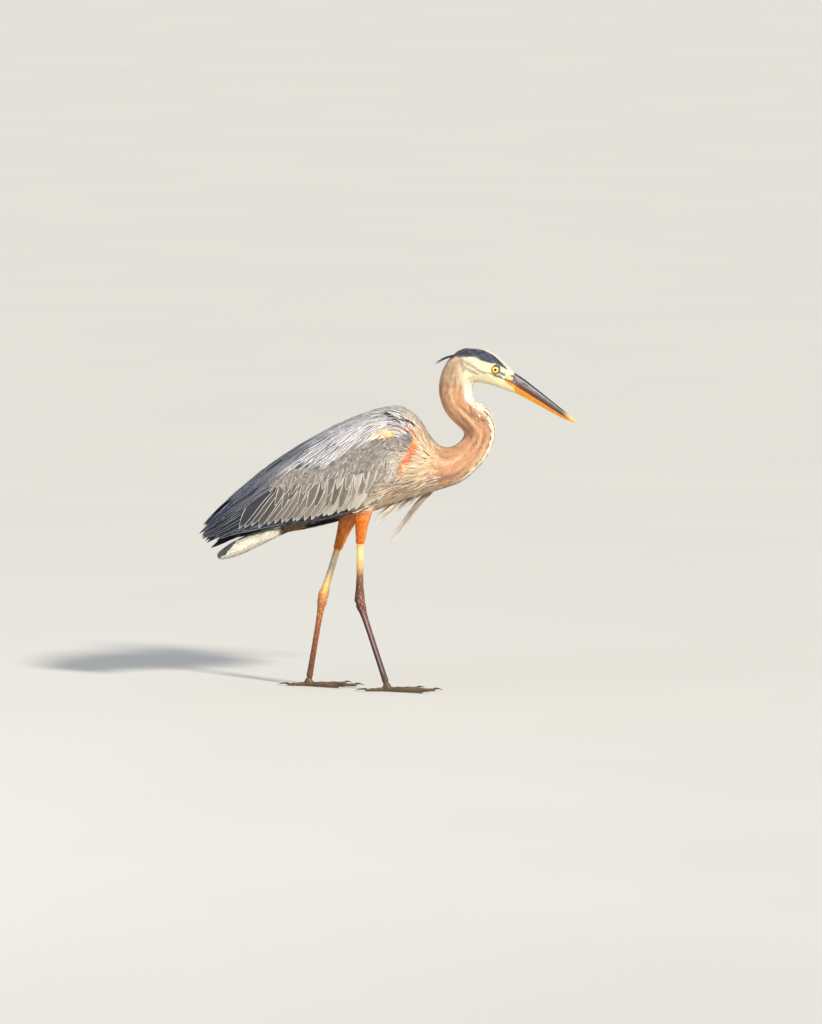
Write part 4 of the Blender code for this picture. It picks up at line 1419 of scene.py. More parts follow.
def breast_size(points):
    x, _, z = points.T
    low = ramp(np.abs(around_body(points)[1]), 0.5, 1.5) * fade(z, 0.43, 0.475)
    free = np.maximum((x - read_off(WING_FRONT, z)) / MM, 0)
    longest = np.where(z > 0.405, 9 + 1.15 * free, 99)
    return np.minimum(25 + 19 * low, longest), 1.8 + 0.6 * low


grow("breast_coat", breast_part & ~flame_part, 3.1, 24, breast_size, (-1.6, 1.0), LANCE, STREAKED,
     "white_plumage", marks=breast_marks, thickness=0.14)

# %% Belly and thighs
def thigh_size(points):
    return np.interp(points[:, 2], [0.27, 0.30, 0.34], [19, 12, 14]), 2.5


grow("belly_coat", belly_part, 4.0, 25, (20, 4.2), (-1.8, 1.6), BODY_VANE, BELLY, "black_plumage",
     thickness=0.16, turn=0.14)
grow("thigh_coat", thigh_part, 2.2, 26, thigh_size, (-0.9, 0.55), BODY_VANE, THIGH, "rufous_plumage",
     thickness=0.06, turn=0.07)

# %% Shoulder marks
def flame_marks(points):
    rng = np.random.default_rng(28)
    flame = over(markings(points), linear(238, 122, 92), rng.uniform(-0.6, 0.7, len(points)))
    return over(flame, linear(255, 180, 100), rng.uniform(-2.4, 0.6, len(points)))


grow("shoulder_flame", flame_part, 2.0, 28, (11, 1.8), (0.0, 1.0), BODY_VANE, THIGH, "rufous_plumage",
     marks=flame_marks, thickness=0.07, turn=0.1)
grow("shoulder_streak", shoulder_there[3] > 0.5, 2.4, 29, (12, 1.5), (0.4, 1.8), LANCE, BELLY,
     "black_plumage", thickness=0.1, turn=0.12)

# %% [markdown]
# ## Plumes of the back and shoulder
# Long narrow plumes with pale edges hang from the back over the folded wing. They are scattered
# like the small feathers, but only where a plume's tip still ends above the edge that they make
# on the flank. In front they are short and steep, and behind they run nearly along the back.

# %% A roof over the rump
def roof_over_rump():
    """The hull of all that lies behind the shoulders. It bridges the crease between the wings."""
    shaped = bmesh.new()
    for place in bed_points[(bx < -0.085) & ~tail_part & (turned < 2.3)]:
        shaped.verts.new(place)
    return hull_of(shaped)


roof = wrapped("roof", [roof_over_rump()], 4, 8)
put_away(roof)
give(roof.data, "out", "FLOAT_VECTOR", normals_of(roof.data))
ROOF = side_finder(roof.data)


def onto_roof(points):
    """The nearest places on the roof, and its outward directions there."""
    found = [ROOF.find_nearest(Vector(p)) for p in points]
    return np.array([f[0] for f in found]), np.array([f[1] for f in found])

# %% Mantle and shoulder plumes
def plume_marks(points):
    light = np.random.default_rng(3).uniform(-1, 1, len(points))
    pale = np.clip(light, 0, 1) * 0.45 * ramp(points[:, 0], -0.20, -0.10)
    colour = over(markings(points), linear(206, 202, 204), pale)
    return over(colour, linear(64, 68, 84), np.clip(-light, 0, 1) * 0.5)


def plant_plumes(name, points, out, width, finish, bed):
    size = plume_length(points), np.interp(points[:, 0], [-0.1, 0.0, 0.05], [width, 6.0, 3.8])
    plant(name, points, out, lie_at(points, out), size, (-1.0, 1.6), plume_marks(points), PLUME_VANE,
          finish, "slate_plumage", 31, thickness=0.2, spread=0.14, turn=0.06, patch=0.012, bed=bed)


points, out = scatter("mantle", mantle_part, 7.2, 31)
ridge = np.abs(around_body(points)[1]) < 0.55
rear = (points[:, 0] < -0.150) | ((points[:, 0] < -0.105) & ridge)
plant_plumes("mantle_plumes", points[~rear], out[~rear], 7.4, MANTLE, outline)
plant_plumes("rear_plumes", *onto_roof(points[rear]), 7.0, REAR_PLUME, roof)

# %% [markdown]
# ## The folded wing
# The large feathers of a wing stand in rows, each row rooted along one line and ending along
# another. So they aren't scattered: each row is drawn as two lines on the flank, and the feathers
# run from one to the other. They don't lie on the body itself, whose edges would
# bend them under: they lie on a smooth sheet drawn over the flank, which runs on past its edges.
# Flight feathers lie deepest, then the great coverts, the middle coverts and the scaly small
# ones, as on the real wing. The left wing is the same set of rows, mirrored.

# %% A sheet over the flank
PITCH, SETTLING = 0.004, 1600


def seen_from_side(finder, x, z):
    """Where a level ray from the bird's right meets a mesh, and the direction of the face there."""
    return finder.ray_cast(Vector((x, -0.5, z)), Vector((0, 1, 0)))[:2]


def sheet_over_flank():
    """Heights of the right flank on a grid of X and Z, carried on smoothly past the wing's edges."""
    body = side_finder(outline.data)
    xs, zs = np.arange(-0.372, 0.080, PITCH), np.arange(0.250, 0.540, PITCH)
    depth, known = np.zeros((len(xs), len(zs))), np.zeros((len(xs), len(zs)), bool)
    for i, x in enumerate(xs):
        for k, z in enumerate(zs):
            hit, out = seen_from_side(body, x, z)
            above = z >= read_off(WING_BELOW, x) + 0.005
            if above and hit is not None and out.y < -0.3 and hit.y < -0.008:
                depth[i, k], known[i, k] = hit.y, True
    held = depth.copy()
    depth[~known] = depth[known].mean()
    for step in range(SETTLING):
        padded = np.pad(depth, 1, mode="edge")
        near = (padded[:-2, 1:-1] + padded[2:, 1:-1] + padded[1:-1, :-2] + padded[1:-1, 2:]) / 4
        depth = np.where(known & (step < SETTLING - 10), held, near)
    return xs, zs, np.minimum(depth, -0.007)


XS, ZS, DEPTH = sheet_over_flank()
SHEETS = {}
for side, sign in SIDES.items():
    name = f"flank_sheet_{side}"
    places = [(x, -sign * DEPTH[i, k], z) for i, x in enumerate(XS) for k, z in enumerate(ZS)]
    n = len(ZS)
    corners = [i * n + k for i in range(len(XS) - 1) for k in range(n - 1)]
    cells = [(a, a + n, a + n + 1, a + 1)[::-sign] for a in corners]
    SHEETS[side] = made_object(name, mesh_from(name, places, cells), helper=True)
    give(SHEETS[side].data, "out", "FLOAT_VECTOR", normals_of(SHEETS[side].data))
FLANK = side_finder(SHEETS["right"].data)
print("sheet points:", DEPTH.size)

# %% Rows on the flank
def on_flank(x, z):
    """The point of the right sheet with this X and Z, and its outward direction."""
    hit, out = seen_from_side(FLANK, x, z)
    return np.array(hit), np.array(out) * (-1 if out.y > 0 else 1)


def along_line(line, shares):
    line = np.array(line, float)
    step = np.r_[0, np.cumsum(np.linalg.norm(np.diff(line, axis=0), axis=1))]
    return np.stack([np.interp(shares * step[-1], step, line[:, k]) for k in (0, 1)], 1) * MM


def row_of(count, roots, tips, jitter, rng):
    """Roots, tips and outward directions of a row of feathers on the right flank."""
    shares = (np.arange(count) + 0.5) / count
    starts = along_line(roots, shares) + rng.normal(0, jitter * MM, (count, 2))
    ends = along_line(tips, shares) + rng.normal(0, jitter * MM, (count, 2))
    found = [on_flank(*start) + on_flank(*end) for start, end in zip(starts, ends)]
    root, root_out, tip, tip_out = (np.array(column) for column in zip(*found))
    return root, tip, root_out + tip_out


def plant_rows(name, rows, shape, finish, seed, jitter=1.0, spread=0.04, turn=0.02, sides=SIDES,
               tones=(0.86, 1.12), **more):
    """Plants rows for both sides. Each row: count, roots, tips, width, (root height, tip height),
    first and last colour, roll, bow."""
    for side in sides:
        rng = np.random.default_rng(seed)
        gathered = []
        for count, roots, tips, width, layer, first, last, roll, bow in rows:
            row = row_of(count, roots, tips, jitter, rng)
            share = np.linspace(0, 1, count)[:, None]
            colours = (first * (1 - share) + last * share) * rng.uniform(*tones, (count, 1))
            gathered.append(np.hstack([*row, colours, np.tile([width, *layer, roll, bow], (count, 1))]))
        table = np.vstack(gathered)
        root, tip, out, colours = np.split(table[:, :12], 4, axis=1)
        width, low, high, roll, bow = table[:, 12:].T
        if side == "left":
            root, tip, out = (v * [1, -1, 1] for v in (root, tip, out))
            roll, bow = -roll, -bow
        long = np.linalg.norm(tip - root, axis=1)
        way = (tip - root) / long[:, None]
        plant(name.format(side), root, flattened(out, way), way, (long / MM, width), (low, high), colours,
              shape, finish, "slate_plumage", seed, roll=roll, bow=bow, spread=spread, turn=turn,
              bed=SHEETS[side], **more)

# %% Flight feathers
PALE_VANE, GREY_VANE, DARK_VANE = linear(208, 198, 184), linear(128, 122, 118), linear(50, 52, 60)
BLACK_VANE, BLUE_VANE = linear(20, 26, 40), linear(38, 50, 76)
HAND_ROWS = [
    (10, [(-160, 330), (-178, 352), (-174, 384), (-180, 412)],
     [(-281, 303), (-325, 289), (-350, 282), (-354, 289)], 19, (-4.0, -2.3), BLUE_VANE, BLACK_VANE, -0.7, 0.02),
    (7, [(-180, 424), (-184, 436), (-188, 448)],
     [(-354, 289), (-353, 297), (-347, 307)], 17, (-3.2, -1.4), BLACK_VANE, BLUE_VANE, -0.5, 0.0),
]
ARM_ROWS = [
    (12, [(14, 425), (-25, 425), (-78, 423)],
     [(-14, 368), (-62, 346), (-130, 331)], 22, (-3.3, -1.0), PALE_VANE, linear(186, 178, 166), -1.0, 0.05),
    (14, [(-74, 423), (-132, 423), (-176, 418), (-204, 408)],
     [(-130, 331), (-205, 319), (-262, 312), (-287, 307)], 21, (-3.3, -0.9), linear(172, 162, 150), DARK_VANE,
     -1.0, 0.05),
]
INNER_ROWS = [
    (12, [(-194, 409), (-180, 419), (-168, 431), (-160, 446)],
     [(-283, 345), (-298, 336), (-314, 329), (-332, 317)], 13, (-2.2, 0.1), linear(96, 94, 100), BLUE_VANE,
     -0.8, 0.03),
]
LARGE = {"thickness": 0.3, "patch": 0.03}
plant_rows("hand_feathers_{}", HAND_ROWS, FLIGHT_VANE, QUILLS, 41, 0.6, spread=0.012, quill=0.4, **LARGE)
plant_rows("arm_feathers_{}", ARM_ROWS, FLIGHT_VANE, FLIGHT, 42, spread=0.02, quill=0.35, **LARGE)
plant_rows("inner_feathers_{}", INNER_ROWS, FLIGHT_VANE, QUILLS, 43, spread=0.02, quill=0.35, **LARGE)

# %% The far wing hangs a little lower
# Its feathers are all the darkest slate in one tone: their own dark colour, deepened as painted shade, since
# they hang in shadow under the near wing.
FAR_ROWS = [
    (10, [(-176, 322), (-186, 338), (-190, 356)],
     [(-266, 302), (-292, 291), (-318, 282), (-341, 274)], 17, (-4.0, -2.6), BLACK_VANE, BLACK_VANE, -0.6, 0.0),
]
plant_rows("far_hand_feathers", FAR_ROWS, FLIGHT_VANE, QUILLS, 49, sides=["left"], tones=(1, 1), quill=0.4,
           **LARGE)

# %% Great and middle coverts
BROWN_VANE, WARM_VANE = linear(104, 96, 92), linear(156, 144, 132)
GREAT_ROWS = [
    (15, [(22, 452), (-22, 446), (-79, 436), (-120, 432), (-160, 428), (-198, 424)],
     [(10, 396), (-32, 377), (-66, 365), (-108, 358), (-152, 352), (-226, 356)], 17, (-1.8, 0.5), WARM_VANE,
     BROWN_VANE, -0.6, -0.03),
    (14, [(16, 456), (-22, 450), (-79, 442), (-120, 438), (-160, 434), (-198, 430)],
     [(4, 412), (-32, 396), (-66, 386), (-108, 380), (-152, 374), (-222, 378)], 14, (-1.4, 0.9),
     linear(196, 186, 176), linear(108, 100, 98), -0.5, -0.03),
]
MIDDLE_ROWS = [
    (19, [(26, 466), (-3, 458), (-75, 450), (-133, 438), (-196, 432)],
     [(20, 424), (-12, 416), (-84, 404), (-142, 396), (-212, 390)], 11, (-1.3, 1.0), linear(150, 140, 132),
     GREY_VANE, -0.5, -0.02),
]
plant_rows("great_coverts_{}", GREAT_ROWS, COVERT_VANE, COVERT, 44, 2.2, 0.12, 0.05, thickness=0.2, quill=0.25,
           patch=0.03)
plant_rows("middle_coverts_{}", MIDDLE_ROWS, COVERT_VANE, COVERT, 45, 3.0, 0.15, 0.08, thickness=0.18,
           quill=0.2, patch=0.02)

# %% Small coverts
def covert_size(points):
    return [np.interp(points[:, 0], [-0.2, 0.0, 0.05], sizes) for sizes in ([15, 13, 11], [4.2, 3.6, 3.0])]


def covert_marks(points):
    """Mottled grey, paler towards the front of the wing."""
    rng = np.random.default_rng(46)
    grey = over(linear(156, 148, 142), linear(108, 102, 100), patches(points, 0.014, 47, 0.1, 1.0) * 0.7)
    grey = over(grey, linear(206, 198, 190), patches(points, 0.009, 48, 0.3, 1.1) * 0.5)
    front = ramp(points[:, 0], -0.015, 0.025) * fade(points[:, 2], 0.44, 0.475)
    pale = np.clip(front * 0.85 + rng.normal(0, 0.10, len(points)), 0, 0.9)
    return over(grey, linear(240, 230, 214), pale)


small_covert_part = (bz > read_off(BAND, bx) - 0.010) & (bx > -0.215) & (bz < read_off(PLUME_EDGE, bx) + 0.008)
front_covert_part = (bx > front_x - 0.036) & (bz > 0.378)
grow("small_coverts", wing_part & (small_covert_part | front_covert_part) & ~flame_part, 3.1, 46, covert_size,
     (-1.1, 0.3), BODY_VANE, SCALY, "slate_plumage", marks=covert_marks, thickness=0.07, turn=0.14, spread=0.2)

# %% [markdown]
# ## Tail
# A folded tail is a stack of broad blades with soft pale coverts underneath, which hide all but
# the blades' tips. The blades run from the rump to the tips along the top and the sides of the
# tail's own shape, and the coverts are scattered over its underside.

# %% Tail blades and undertail coverts
def tail_blades():
    """Blades over the top and down both sides: roots, tips, outward directions and heights."""
    body = side_finder(outline.data)
    root, tip, out, heights = [], [], [], []
    for i in range(6):
        for side in SIDES.values():
            start = np.array([-198.0, side * (2 + 3.4 * i), 322 - 1.6 * i]) * MM
            end = np.array([-328.0 + 0.9 * i, side * (2.5 + 3.6 * i), 264 - 3.4 * i]) * MM
            root.append(body.find_nearest(Vector(start))[0])
            place, normal, _, _ = body.find_nearest(Vector(end))
            tip.append(place)
            out.append(normal)
            heights.append(0.9 - 0.24 * i)
    return (np.array(column) for column in (root, tip, out, heights))


def undertail_marks(points):
    return over(linear(250, 246, 226), linear(150, 138, 116), patches(points, 0.015, 55, 0.6, 1.2) * 0.45)


root, tip, out, heights = tail_blades()
long = np.linalg.norm(tip - root, axis=1)
way = (tip - root) / long[:, None]
plant("tail_blades", root, flattened(out, way), way, (long / MM, 15), (heights - 1.6, heights),
      np.tile(linear(70, 76, 92), (len(root), 1)), FLIGHT_VANE, QUILLS, "slate_plumage", 51, thickness=0.25,
      quill=0.3, spread=0.02, turn=0.01, patch=0.03, replaces=("tail",))
tail_share = (bz - np.interp(bx, [-0.326, -0.20], [0.240, 0.300])) / 0.026
highest = np.interp(bx, [-0.296, -0.290, -0.268, -0.250, -0.240, -0.215], [0.1, 0.46, 0.94, 1.3, 1.7, 1.1])
under_part = tail_part & (bx < -0.198) & (bx > -0.298) & (tail_share < highest)
grow("undertail_coverts", under_part, 3.4, 52, (24, 6.0), (-1.2, 1.1), BODY_VANE, UNDERTAIL, "white_plumage",
     marks=undertail_marks, lie=(-0.87, 0, -0.49), thickness=0.1, turn=0.1, patch=0.006)

# %% [markdown]
# ## Loose plumes
# The crest and the long breast plumes leave the body and hang free. Each is a bundle of fine
# strands. Every strand is a curve that follows the plume's own line, spread a little from its
# neighbours. Geometry Nodes sweep a small ring along it, thick at the root and thin at the tip.

# %% Strands tree
STEPS = 14


def strands_tree():
    tree, given = new_tree("Strands", ("Sides", "Int"), ("Finish", "Material"))
    curve = add(tree, "GeometryNodeMeshToCurve", {0: given["Geometry"]}).outputs[0]
    ring = add(tree, "GeometryNodeCurvePrimitiveCircle", {"Resolution": given["Sides"],
                                                          "Radius": 1.0}).outputs[0]
    inputs = {"Curve": curve, "Profile Curve": ring, "Fill Caps": True, "Scale": named(tree, "thick")}
    swept = add(tree, "GeometryNodeCurveToMesh", inputs).outputs[0]
    whole = add(tree, "GeometryNodeRealizeInstances", {0: swept}).outputs[0]
    finished(tree, whole, vector_calc(tree, "SCALE", named_vector(tree, "blade"), scale=0.02), given["Finish"])
    return tree


STRANDS = strands_tree()


def strands(name, bundles, finish, slot, nodes, seed, colours):
    """Each bundle: a path in mm, the spread at the tip in mm, the thickness in mm, how many strands."""
    rng = np.random.default_rng(seed)
    down = np.linspace(0, 1, STEPS)
    places, thick, marks, tone = [], [], [], []
    for path, spread, thickness, count in bundles:
        smooth = fine_line(np.array(path, float), 6) * MM
        at = np.linspace(0, 1, len(smooth))
        for _ in range(count):
            shares = np.linspace(0, 1.0 - rng.uniform(0, 0.35) * (count > 1), STEPS)
            run = np.stack([np.interp(shares, at, smooth[:, k]) for k in range(3)], 1)
            aside = rng.normal(0, 1, 3) * spread * MM * [0.8, 0.6, 0.8]
            sway = rng.normal(0, 1, 3) * 0.5 * spread * MM
            far, swing = shares[:, None] ** 1.3, np.sin(shares * math.pi)[:, None]
            run += aside * (0.25 + 0.75 * far) + sway * swing
            places.append(run)
            thick.append(thickness * MM * (1.0 - 0.85 * down**1.2) * rng.uniform(0.7, 1.2))
            marks.append(colours[rng.integers(len(colours))])
            tone.append(rng.uniform())
    number = np.arange(len(places))
    seat = np.column_stack([0.05 + 0.03 * (number % 30), 0.05 + 0.05 * (number // 30), number * 0])
    edges = [(first + k, first + k + 1) for first in number * STEPS for k in range(STEPS - 1)]
    piece = made_object(name, mesh_from(name, np.concatenate(places), [], edges))
    give(piece.data, "thick", "FLOAT", thick)
    give_colour(piece.data, np.repeat(marks, STEPS, axis=0))
    give(piece.data, "tone", "FLOAT", np.repeat(tone, STEPS))
    give(piece.data, "blade", "FLOAT_VECTOR", [(0.5, t, 1.0) for _ in number for t in down])
    give(piece.data, "seat", "FLOAT_VECTOR", np.repeat(seat, STEPS, axis=0))
    with_tree(piece, STRANDS, Sides=6, Finish=finish)
    enrol(piece, slot, *nodes)
    print(f"{name}: {len(number)} strands, {len(piece.data.polygons)} faces")

# %% Crest and breast plumes
# The lines were drawn this far, in millimetres, from where the frame has the body.
DX, DY = -1.5, 0.05
CREST_LINES = [[(131 + DX, s * 7 + DY, 637.0), (109 + DX, s * 8 + DY, 631), (90 + DX, s * 9 + DY, 619)]
               for s in SIDES.values()]
PLUME_LINES = [
    ([(98, 0, 392), (56, 0, 348), (3, 0, 278)], 4.6, 0.95, 44),
    ([(76, 8, 376), (50, 9, 344), (37, 10, 309)], 3.6, 0.75, 22),
    ([(48, -17, 380), (8, -20, 343), (-23, -22, 317)], 5.0, 0.7, 20),
    ([(48, 17, 380), (8, 20, 345), (-20, 22, 320)], 5.0, 0.85, 26),
    ([(66, -4, 382), (34, -5, 355), (5, -6, 337)], 5.0, 0.7, 22),
]
# A thin fringe hangs all along the lower breast between the long locks.
fringe_rng = np.random.default_rng(63)
for _ in range(26):
    share, side = fringe_rng.uniform(), fringe_rng.uniform(-1, 1)
    x, z = np.interp(share, [0, 1], [96, 2]), np.interp(share, [0, 0.3, 1], [393, 374, 347])
    reach = fringe_rng.uniform(26, 48)
    PLUME_LINES.append(([(x, side * 16, z), (x - 0.42 * reach, side * 19, z - 0.36 * reach),
                         (x - 0.86 * reach, side * 21, z - 0.80 * reach)], 1.0, 0.5, 2))
PLUME_LINES = [([(x + DX, y + DY, z) for x, y, z in line], *rest) for line, *rest in PLUME_LINES]
strands("crest", [(line, 1.3, 0.85, 9) for line in CREST_LINES], DOWN, "black_plumage",
        ["crest_plume_right", "crest_plume_left"], 61, [INK, linear(34, 44, 66)])
strands("breast_plumes", PLUME_LINES, STREAKED, "white_plumage", [f"breast_plume_{i}" for i in range(1, 6)], 62,
        [WHITE, CREAM, linear(222, 206, 192), BUFF, linear(112, 96, 98)])

# %% [markdown]
# ## Bill
# The bill is a long dagger of two mandibles that close on a slightly wavy line. Each is lofted
# from sections between the closing line and its own ridge or keel, with a narrow edge where they
# meet. Near the base the upper one has a groove on each side, and the nostril is a slit in it.

# %% Bill lines and colours
# X in millimetres, and there the height of the ridge, the mouth and the keel, and the half width.
RIDGE = [(228, 608.5), (243.6, 602.1), (262, 589.8), (300, 559.6), (346, 522.6), (356, 513.6), (360.5, 508.7)]
MOUTH = [(228, 586.5), (247.8, 575.6), (296, 545), (338, 518.2), (354, 510.4), (360.3, 508.1)]
KEEL = [(228, 572.5), (251.2, 560.5), (292, 538.6), (334, 515.8), (352, 509.2), (360.1, 507.5)]
HALF_WIDTH = [(228, 12.0), (247, 12.4), (268, 10.4), (300, 8.2), (330, 5.4), (346, 3.6), (355, 1.9),
              (360.3, 0.7)]
BILL_START, BILL_END, NOSTRIL = 228, 360.2, 262
BILL_ROWS, BILL_RING = 150, 44


def bell(value, middle, width, power=2):
    return np.exp(-(((value - middle) / width) ** power))


def upper_colours(x, high):
    """Dark horn with a brown edge, a painted highlight of blue-grey under the ridge and a pale tip."""
    colour = over(linear(196, 120, 40), linear(72, 24, 14), ramp(high, 0.04, 0.14))
    colour = over(colour, linear(50, 40, 48), ramp(high, 0.32, 0.52))
    colour = over(colour, linear(34, 34, 50), ramp(high, 0.86, 0.95) * 0.9)
    # A painted highlight: a thin pale blue-grey line under the ridge.
    colour = over(colour, linear(158, 154, 176), 0.8 * bell(high, 0.76, 0.04) * fade(x, 300, 335))
    colour = over(colour, linear(236, 196, 96), ramp(x, 330, 354) * 0.95)
    colour = over(colour, linear(110, 104, 116), fade(x, 246, 254) * 0.35)
    slit = bell(high, 0.58, 0.06) * bell(x, NOSTRIL, 5.0, 4) * (np.abs(x - NOSTRIL) < 6)
    return over(colour, linear(20, 16, 16), slit)


def lower_colours(x, high):
    """Orange-yellow, paler along the keel and at the tip."""
    colour = over(linear(255, 150, 10), linear(255, 204, 36), ramp(high, 0.45, 0.9) * 0.9)
    colour = over(colour, linear(206, 84, 14), 0.7 * bell(high, 0.30, 0.09))
    colour = over(colour, linear(150, 70, 24), fade(high, 0.02, 0.10) * 0.6)
    return over(colour, linear(255, 230, 130), ramp(x, 340, 357) * 0.7)


# %% Mandibles
def mandible(name, upper, node):
    """Rings from the mouth line round the ridge or the keel and back, closed at both ends."""
    sign, power = (1, 0.95) if upper else (-1, 0.85)
    span = np.linspace(0, 1, BILL_ROWS)
    span = 0.25 * span + 0.75 * (1 - (1 - span) ** 1.35)
    x = np.repeat(BILL_START + (BILL_END - BILL_START) * span, BILL_RING)
    turn = np.tile(2 * math.pi * np.arange(BILL_RING) / BILL_RING, BILL_ROWS)
    mouth, aside = read_off(MOUTH, x), np.sin(turn)
    # high is 0 at the mouth line and 1 on the ridge or keel, and back how far inside the mouth.
    high, back = np.maximum(np.cos(turn), 0), np.maximum(-np.cos(turn), 0)
    y = read_off(HALF_WIDTH, x) * np.copysign(np.abs(aside) ** 0.85, aside)
    rise = read_off(RIDGE if upper else KEEL, x) - mouth
    z = mouth + rise * high**power + sign * (0.12 + 0.35 * back)
    if upper:
        groove = bell(high, 0.62, 0.10) * fade(x, 262, 304) * ramp(x, 236, 248)
        slit = bell(high, 0.58, 0.055) * bell(x, NOSTRIL, 5.0, 4)
        cut = np.minimum(np.abs(y) * 0.8, 0.75 * groove + 1.5 * slit)
        y -= np.copysign(np.where(np.abs(y) > 0.5, cut, 0), y)
    n = BILL_RING
    faces = [(r * n + k, r * n + n + k, r * n + n + (k + 1) % n, r * n + (k + 1) % n)
             for r in range(BILL_ROWS - 1) for k in range(n)]
    faces += [tuple(range(n)), tuple((BILL_ROWS - 1) * n + k for k in reversed(range(n)))]
    mesh = mesh_from(name, np.column_stack([x + DX, y + DY, z]) * MM, faces)
    shaped = bmesh.new()
    shaped.from_mesh(mesh)
    bmesh.ops.recalc_face_normals(shaped, faces=shaped.faces)
    shaped.to_mesh(mesh)
    shaped.free()
    give_colour(mesh, (upper_colours if upper else lower_colours)(x, high))
    give(mesh, "flow", "FLOAT_VECTOR", np.column_stack([x * 0.012, y * 0.12, (z - mouth) * 0.14]))
    mesh.materials.append(HORN)
    enrol(made_object(name, mesh), "bill_horn", node)
    print(name, len(mesh.polygons), "faces")


mandible("bill_top", True, "bill_upper")
mandible("bill_bottom", False, "bill_lower")

# %% [markdown]
# ## Eyes
# The iris is a clear yellow with fine spokes, a dark rim and a small round pupil. The eyeball is
# a fine sphere whose front swells a little where the cornea is, and a clear coat gives it its wet
# gloss. The iris pattern is measured from the eye's own axis in Object coordinates.

# %% Eye finish
# Metres from the middle of the eye where each ring begins and is whole, and its colour.
IRIS_RINGS = [(0.0046, 0.0064, (196, 140, 16)), (0.0064, 0.0069, (14, 10, 8)), (0.0028, 0.0024, (6, 6, 8))]
CORNEA = 0.5 * MM


def eye_finish():
    material, tree = new_material("eye glass")
    centre = EYE_CENTRE["right"]
    moved = add(tree, "ShaderNodeMapping",
                {"Vector": object_place(tree), "Location": (-centre[0], 0.0, -centre[2])}).outputs[0]
    x, _, z = parts_of(tree, moved)
    reach = calc(tree, "SQRT", calc(tree, "ADD", product(tree, x, x), product(tree, z, z)))
    angle = calc(tree, "ARCTAN2", z, x)
    fibres = noise(tree, xyz(tree, product(tree, angle, 9.0), product(tree, reach, 300.0)), 1.5, 3.0)
    iris = mixed(tree, stepped(tree, fibres, 0.3, 0.7), linear(236, 190, 20), linear(255, 232, 92))
    for start, whole, colour in IRIS_RINGS:
        iris = mixed(tree, stepped(tree, reach, start, whole), iris, linear(*colour))
    set_shader(tree, Base_Color=iris, Roughness=0.18, Coat_Weight=1.0, Coat_Roughness=0.03)
    return material


EYE_FINISH = eye_finish()
for side, sign in SIDES.items():
    name = f"eyeball_{side}"
    mesh = mesh_of(name, ball((0, 0, 0), EYE_RADIUS))
    shape = points_of(mesh)
    swell = CORNEA * ramp(shape[:, 1] * sign / EYE_RADIUS, 0.80, 0.99) / np.linalg.norm(shape, axis=1)
    move_points(mesh, shape * (1 + swell[:, None]) + EYE_CENTRE[side])
    mesh.shade_smooth()
    mesh.materials.append(EYE_FINISH)
    enrol(made_object(name, mesh), "eye", f"eye_{side}")
print("eyes at X and Z, mm:", [round(float(v) / MM, 1) for v in EYE_CENTRE["right"][[0, 2]]])

# %% [markdown]
# ## Claws
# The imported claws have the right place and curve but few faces. Welded copies of them, rounded
# with a Subdivision Surface, become one piece of dark horn.

# %% Claws
CLAWS = [f"claw_{side}_{toe}" for side in SIDES for toe in ("middle", "inner", "outer", "hind")]
CLAW_GROWTH = 1.25
joined = bmesh.new()
for node in CLAWS:
    mesh = mesh_of("part", copy_of(node))
    # Each claw grows a little about its tip, so that its root sits inside the toe's end.
    shape, foot = points_of(mesh), np.array(JOINTS[node.split("_")[1]]["toes"]) * MM
    tip = shape[np.argmax(np.linalg.norm(shape - foot, axis=1))]
    move_points(mesh, tip + (shape - tip) * CLAW_GROWTH)
    joined.from_mesh(mesh)
claws = made_object("claws", mesh_of("claws", joined))
rounder = claws.modifiers.new("rounder", "SUBSURF")
rounder.levels = rounder.render_levels = 2
settled(claws)
claws.data.shade_smooth()
claw_points = points_of(claws.data)
give_colour(claws.data, np.tile(linear(52, 44, 42), (len(claw_points), 1)))
give(claws.data, "flow", "FLOAT_VECTOR", claw_points * [20, 200, 200])
claws.data.materials.clear()
claws.data.materials.append(CLAW)
enrol(claws, "claw_horn", *CLAWS)
print("claw faces:", len(claws.data.polygons))

# %% The skin takes its place
enrol(skin, "leg_scales", *[node for node in FEATHERED if node != "tail"], *LEG_NODES)
print("skin triangles:", triangles_in(skin.data))

# %% [markdown]
# ## Floor, light and camera
# A plain pale floor, a soft warm key light from the front right, a wide soft fill, and a long
# lens at nearly eye level, twenty metres away, as a wading bird is usually seen.

# %% Floor
FLOOR_REACH, FLOOR_TOP = 90.0, -0.0004


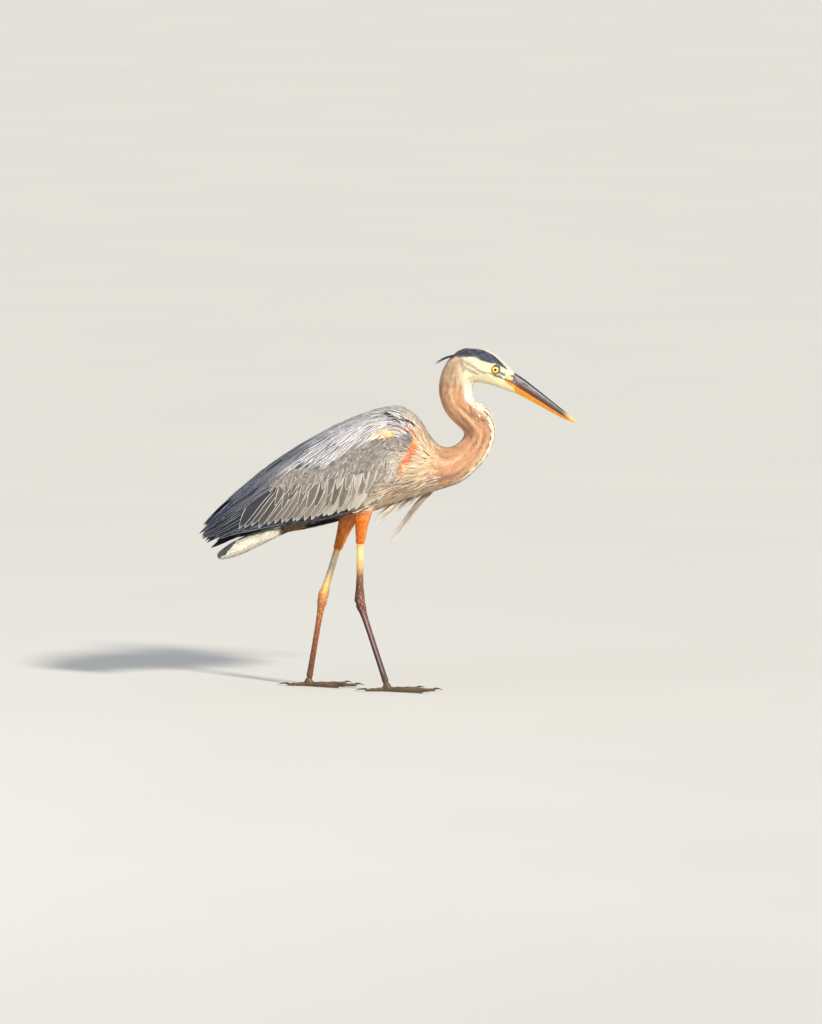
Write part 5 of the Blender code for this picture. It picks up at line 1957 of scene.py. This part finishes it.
def floor_finish():
    material, tree = new_material("pale floor")
    cloud = noise(tree, object_place(tree), 1.2, 5.0)
    set_shader(tree, Base_Color=mixed(tree, cloud, linear(206, 206, 202), linear(214, 213, 209)), Roughness=0.8)
    return material


corners = [(x * FLOOR_REACH, y * FLOOR_REACH, FLOOR_TOP) for x, y in ((-1, -1), (1, -1), (1, 1), (-1, 1))]
floor = made_object("floor", mesh_from("floor", corners, [(0, 1, 2, 3)]))
floor.data.materials.append(floor_finish())

# %% Light
def aimed(name, data, place, target):
    thing = bpy.data.objects.new(name, data)
    bpy.context.scene.collection.objects.link(thing)
    thing.location = place
    thing.rotation_euler = (Vector(target) - Vector(place)).to_track_quat("-Z", "Y").to_euler()
    return thing


MIDDLE = (0.0, 0.0, 0.36)
sun = bpy.data.lights.new("key", "SUN")
sun.energy, sun.angle, sun.color = 4.3, math.radians(7), (1.0, 0.92, 0.80)
aimed("key", sun, (2.6, -3.2, 2.9), MIDDLE)
fill = bpy.data.lights.new("fill", "AREA")
fill.energy, fill.size, fill.color = 55, 3.0, (0.93, 0.96, 1.0)
aimed("fill", fill, (-3.4, -2.8, 2.4), MIDDLE)
world = bpy.data.worlds.new("studio")
world.use_nodes = True
world.node_tree.nodes["Background"].inputs["Color"].default_value = (0.90, 0.94, 1.0, 1.0)
world.node_tree.nodes["Background"].inputs["Strength"].default_value = 0.55
bpy.context.scene.world = world

# %% Camera
AWAY, RISE = 20.0, math.radians(5)
AIM = Vector((0.0441, 0.0, 0.3375))
lens = bpy.data.cameras.new("camera")
lens.sensor_width = 36.0
lens.lens = 36.0 * AWAY / (1.024 * 1.9)
camera = aimed("camera", lens, AIM + Vector((0, -math.cos(RISE), math.sin(RISE))) * AWAY, AIM)
lens.clip_start, lens.clip_end = 1.0, 400.0
bpy.context.scene.camera = camera
bpy.context.scene.view_settings.view_transform = "Standard"
print("camera at", [round(v, 3) for v in camera.location])

# %% Finish
for helper in HELPERS:
    bpy.data.objects.remove(helper)
